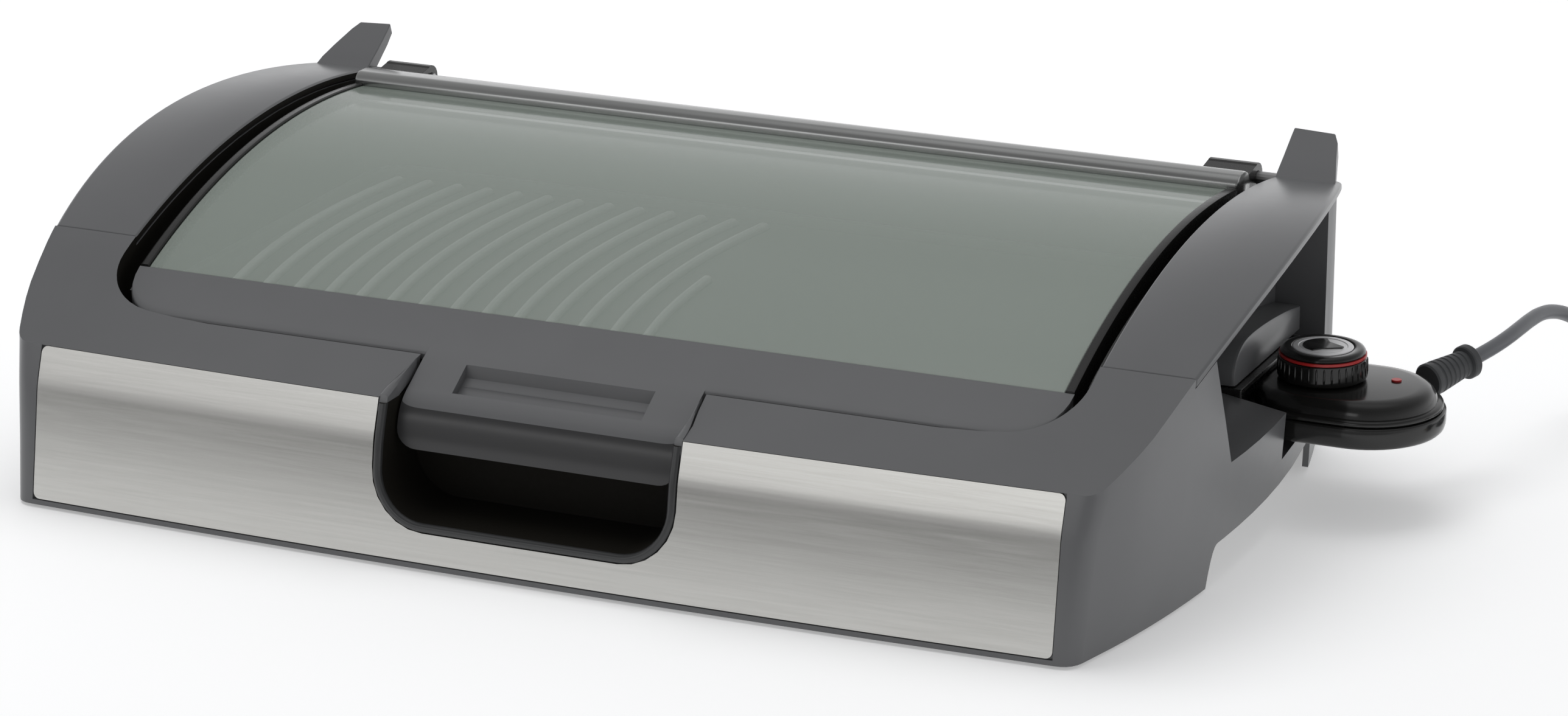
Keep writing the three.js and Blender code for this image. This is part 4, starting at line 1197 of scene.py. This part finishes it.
def make_control():
    """The control's two shells, each as heights with the inset of its outline there."""
    lower = [
        (37, 6), (37.2, 3.6), (37.9, 1.9), (39.2, 0.7), (41, 0.15), (43, 0), (47.2, 0), (47.8, 0.3),
        (48, 0.9), (48, 2.6), (39.8, 2.8),
    ]
    upper = [
        (48.3, 2), (48.5, 1.4), (49, 1.2), (50.3, 1.3), (50.8, 1.9), (51, 3.2), (51.2, 4), (52.6, 4.3),
        (54.6, 5), (56.2, 6), (57.3, 7.4), (58, 9.4), (58.3, 12.5),
    ]
    for name, node, levels in (
        ("control_tray", "control_lower_shell", lower), ("control_cap", "control_upper_shell", upper),
    ):
        rows = [control_outline(inset, z) for z, inset in levels]
        piece(name, [skin(rows)], ["gloss_black"], 50, "control", "black_plastic", (node,))


def make_knob():
    """The grip with its flutes, the red band, the grey face, and on it a half disc with a blunt point."""
    body = [
        (4.1, 59), (19.6, 59), (20.3, 59.4), (20.7, 60.2), (20.6, 62), (20.2, 68.6), (19.9, 68.9),
        (18.6, 68.95), (18.6, 71.3), (19.6, 71.35), (19.5, 71.9), (18.9, 72.7), (18, 73.1), (17.2, 73.2),
        (14.7, 73.2), (14.3, 72.9), (14.3, 71.8),
    ]
    flute = [(0, 60.6), (0.35, 60.9), (0.62, 61.6), (0.5, 67.4), (0.3, 68.1), (0, 68.4)]
    places = [(*on_circle(KNOB_AT, 20.3, 2 * pi * i / 36), 0) for i in range(36)]
    grip = [lathe(body, KNOB_AT, sides=72)] + [lathe(flute, place, sides=8) for place in places]
    ring = [(18.8, 69.3), (20, 69.3), (20.2, 69.5), (20.2, 70.4), (20, 70.6), (18.8, 70.6)]
    turns = [2 * pi * i / 72 for i in range(72)]
    band = skin([[(*on_circle(KNOB_AT, r, a), z) for r, z in ring] for a in turns], loop=True)
    disc = [
        (0, 72), (13.8, 72), (14, 72.3), (14, 73.1), (13.6, 73.4), (11.4, 73.45), (11.2, 73.2), (10.6, 73.2),
        (10.4, 73.4), (0, 73.4),
    ]
    half = [on_circle((0, 0), 9.4, radians(a)) for a in range(95, 266, 9)]
    plan = half + [(1.5, -5.2), (9.6, -0.9), (9.6, 0.9), (1.5, 5.2)]
    levels = ((73.2, 1), (73.75, 1), (73.95, 0.97))
    pointer = skin([[(KNOB_AT[0] + u * s, KNOB_AT[1] + v * s, z) for u, v in plan] for z, s in levels])
    for name, shells, paint, sharp, finish, nodes in (
        ("knob_grip", grip, "gloss_black", 40, "black_plastic", ("knob",)),
        ("knob_band", [band], "red_plastic", 40, "red_plastic", ("knob_ring",)),
        ("knob_face", [lathe(disc, KNOB_AT, sides=72)], "dial_metal", 30, "dial_metal", ("knob_disc",)),
        ("knob_pointer", [pointer], "gloss_black", 40, "black_plastic", ()),
    ):
        piece(name, shells, [paint], sharp, "dial", finish, nodes)


make_glass()
for side_name, side_sign in SIDES:
    make_side_frame(side_name, side_sign)
make_front_frame()
make_rail()
make_plate()
make_control()
make_knob()

# ---- CAD nodes that keep their shape
CORNERS = ("front_left", "front_right", "rear_left", "rear_right")
KEPT = {  # paint: the nodes that wear it, and how far their edges are rounded
    "black_plastic": (
        ["socket_shroud", "hinge_arm_left", "hinge_arm_right", "control_nose", "cord_tie"], 1.0),
    "sheet_steel": (
        ["base_pan", "reflector_pan", "probe_block", "heating_element", "switch_unit", "knob_shaft",
         "hinge_pin_left", "hinge_pin_right", "temperature_probe"]
        + [f"foot_screw_{corner}" for corner in CORNERS], 0.25),
    "rubber": (
        [f"foot_{corner}" for corner in CORNERS] + ["lid_bumper_left", "lid_bumper_right"], 0.5),
    "red_plastic": (["indicator_lens"], 0.3),
    "contact_metal": (
        ["terminal_pin_front", "terminal_pin_rear", "contact_sleeve_front", "contact_sleeve_rear",
         "plug_pin_left", "plug_pin_right"], 0.4),
}


def dress_cad():
    """Gives each CAD node that stays its finish, joined vertices and rounded edges."""
    for paint, (names, width) in KEPT.items():
        for name in names:
            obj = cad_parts[name]
            obj.data.materials.clear()
            obj.data.materials.append(PAINT[paint])
            weld = obj.modifiers.new("weld", "WELD")
            weld.merge_threshold = 1e-5
            add_bevel(obj, width, 2, 40)


dress_cad()
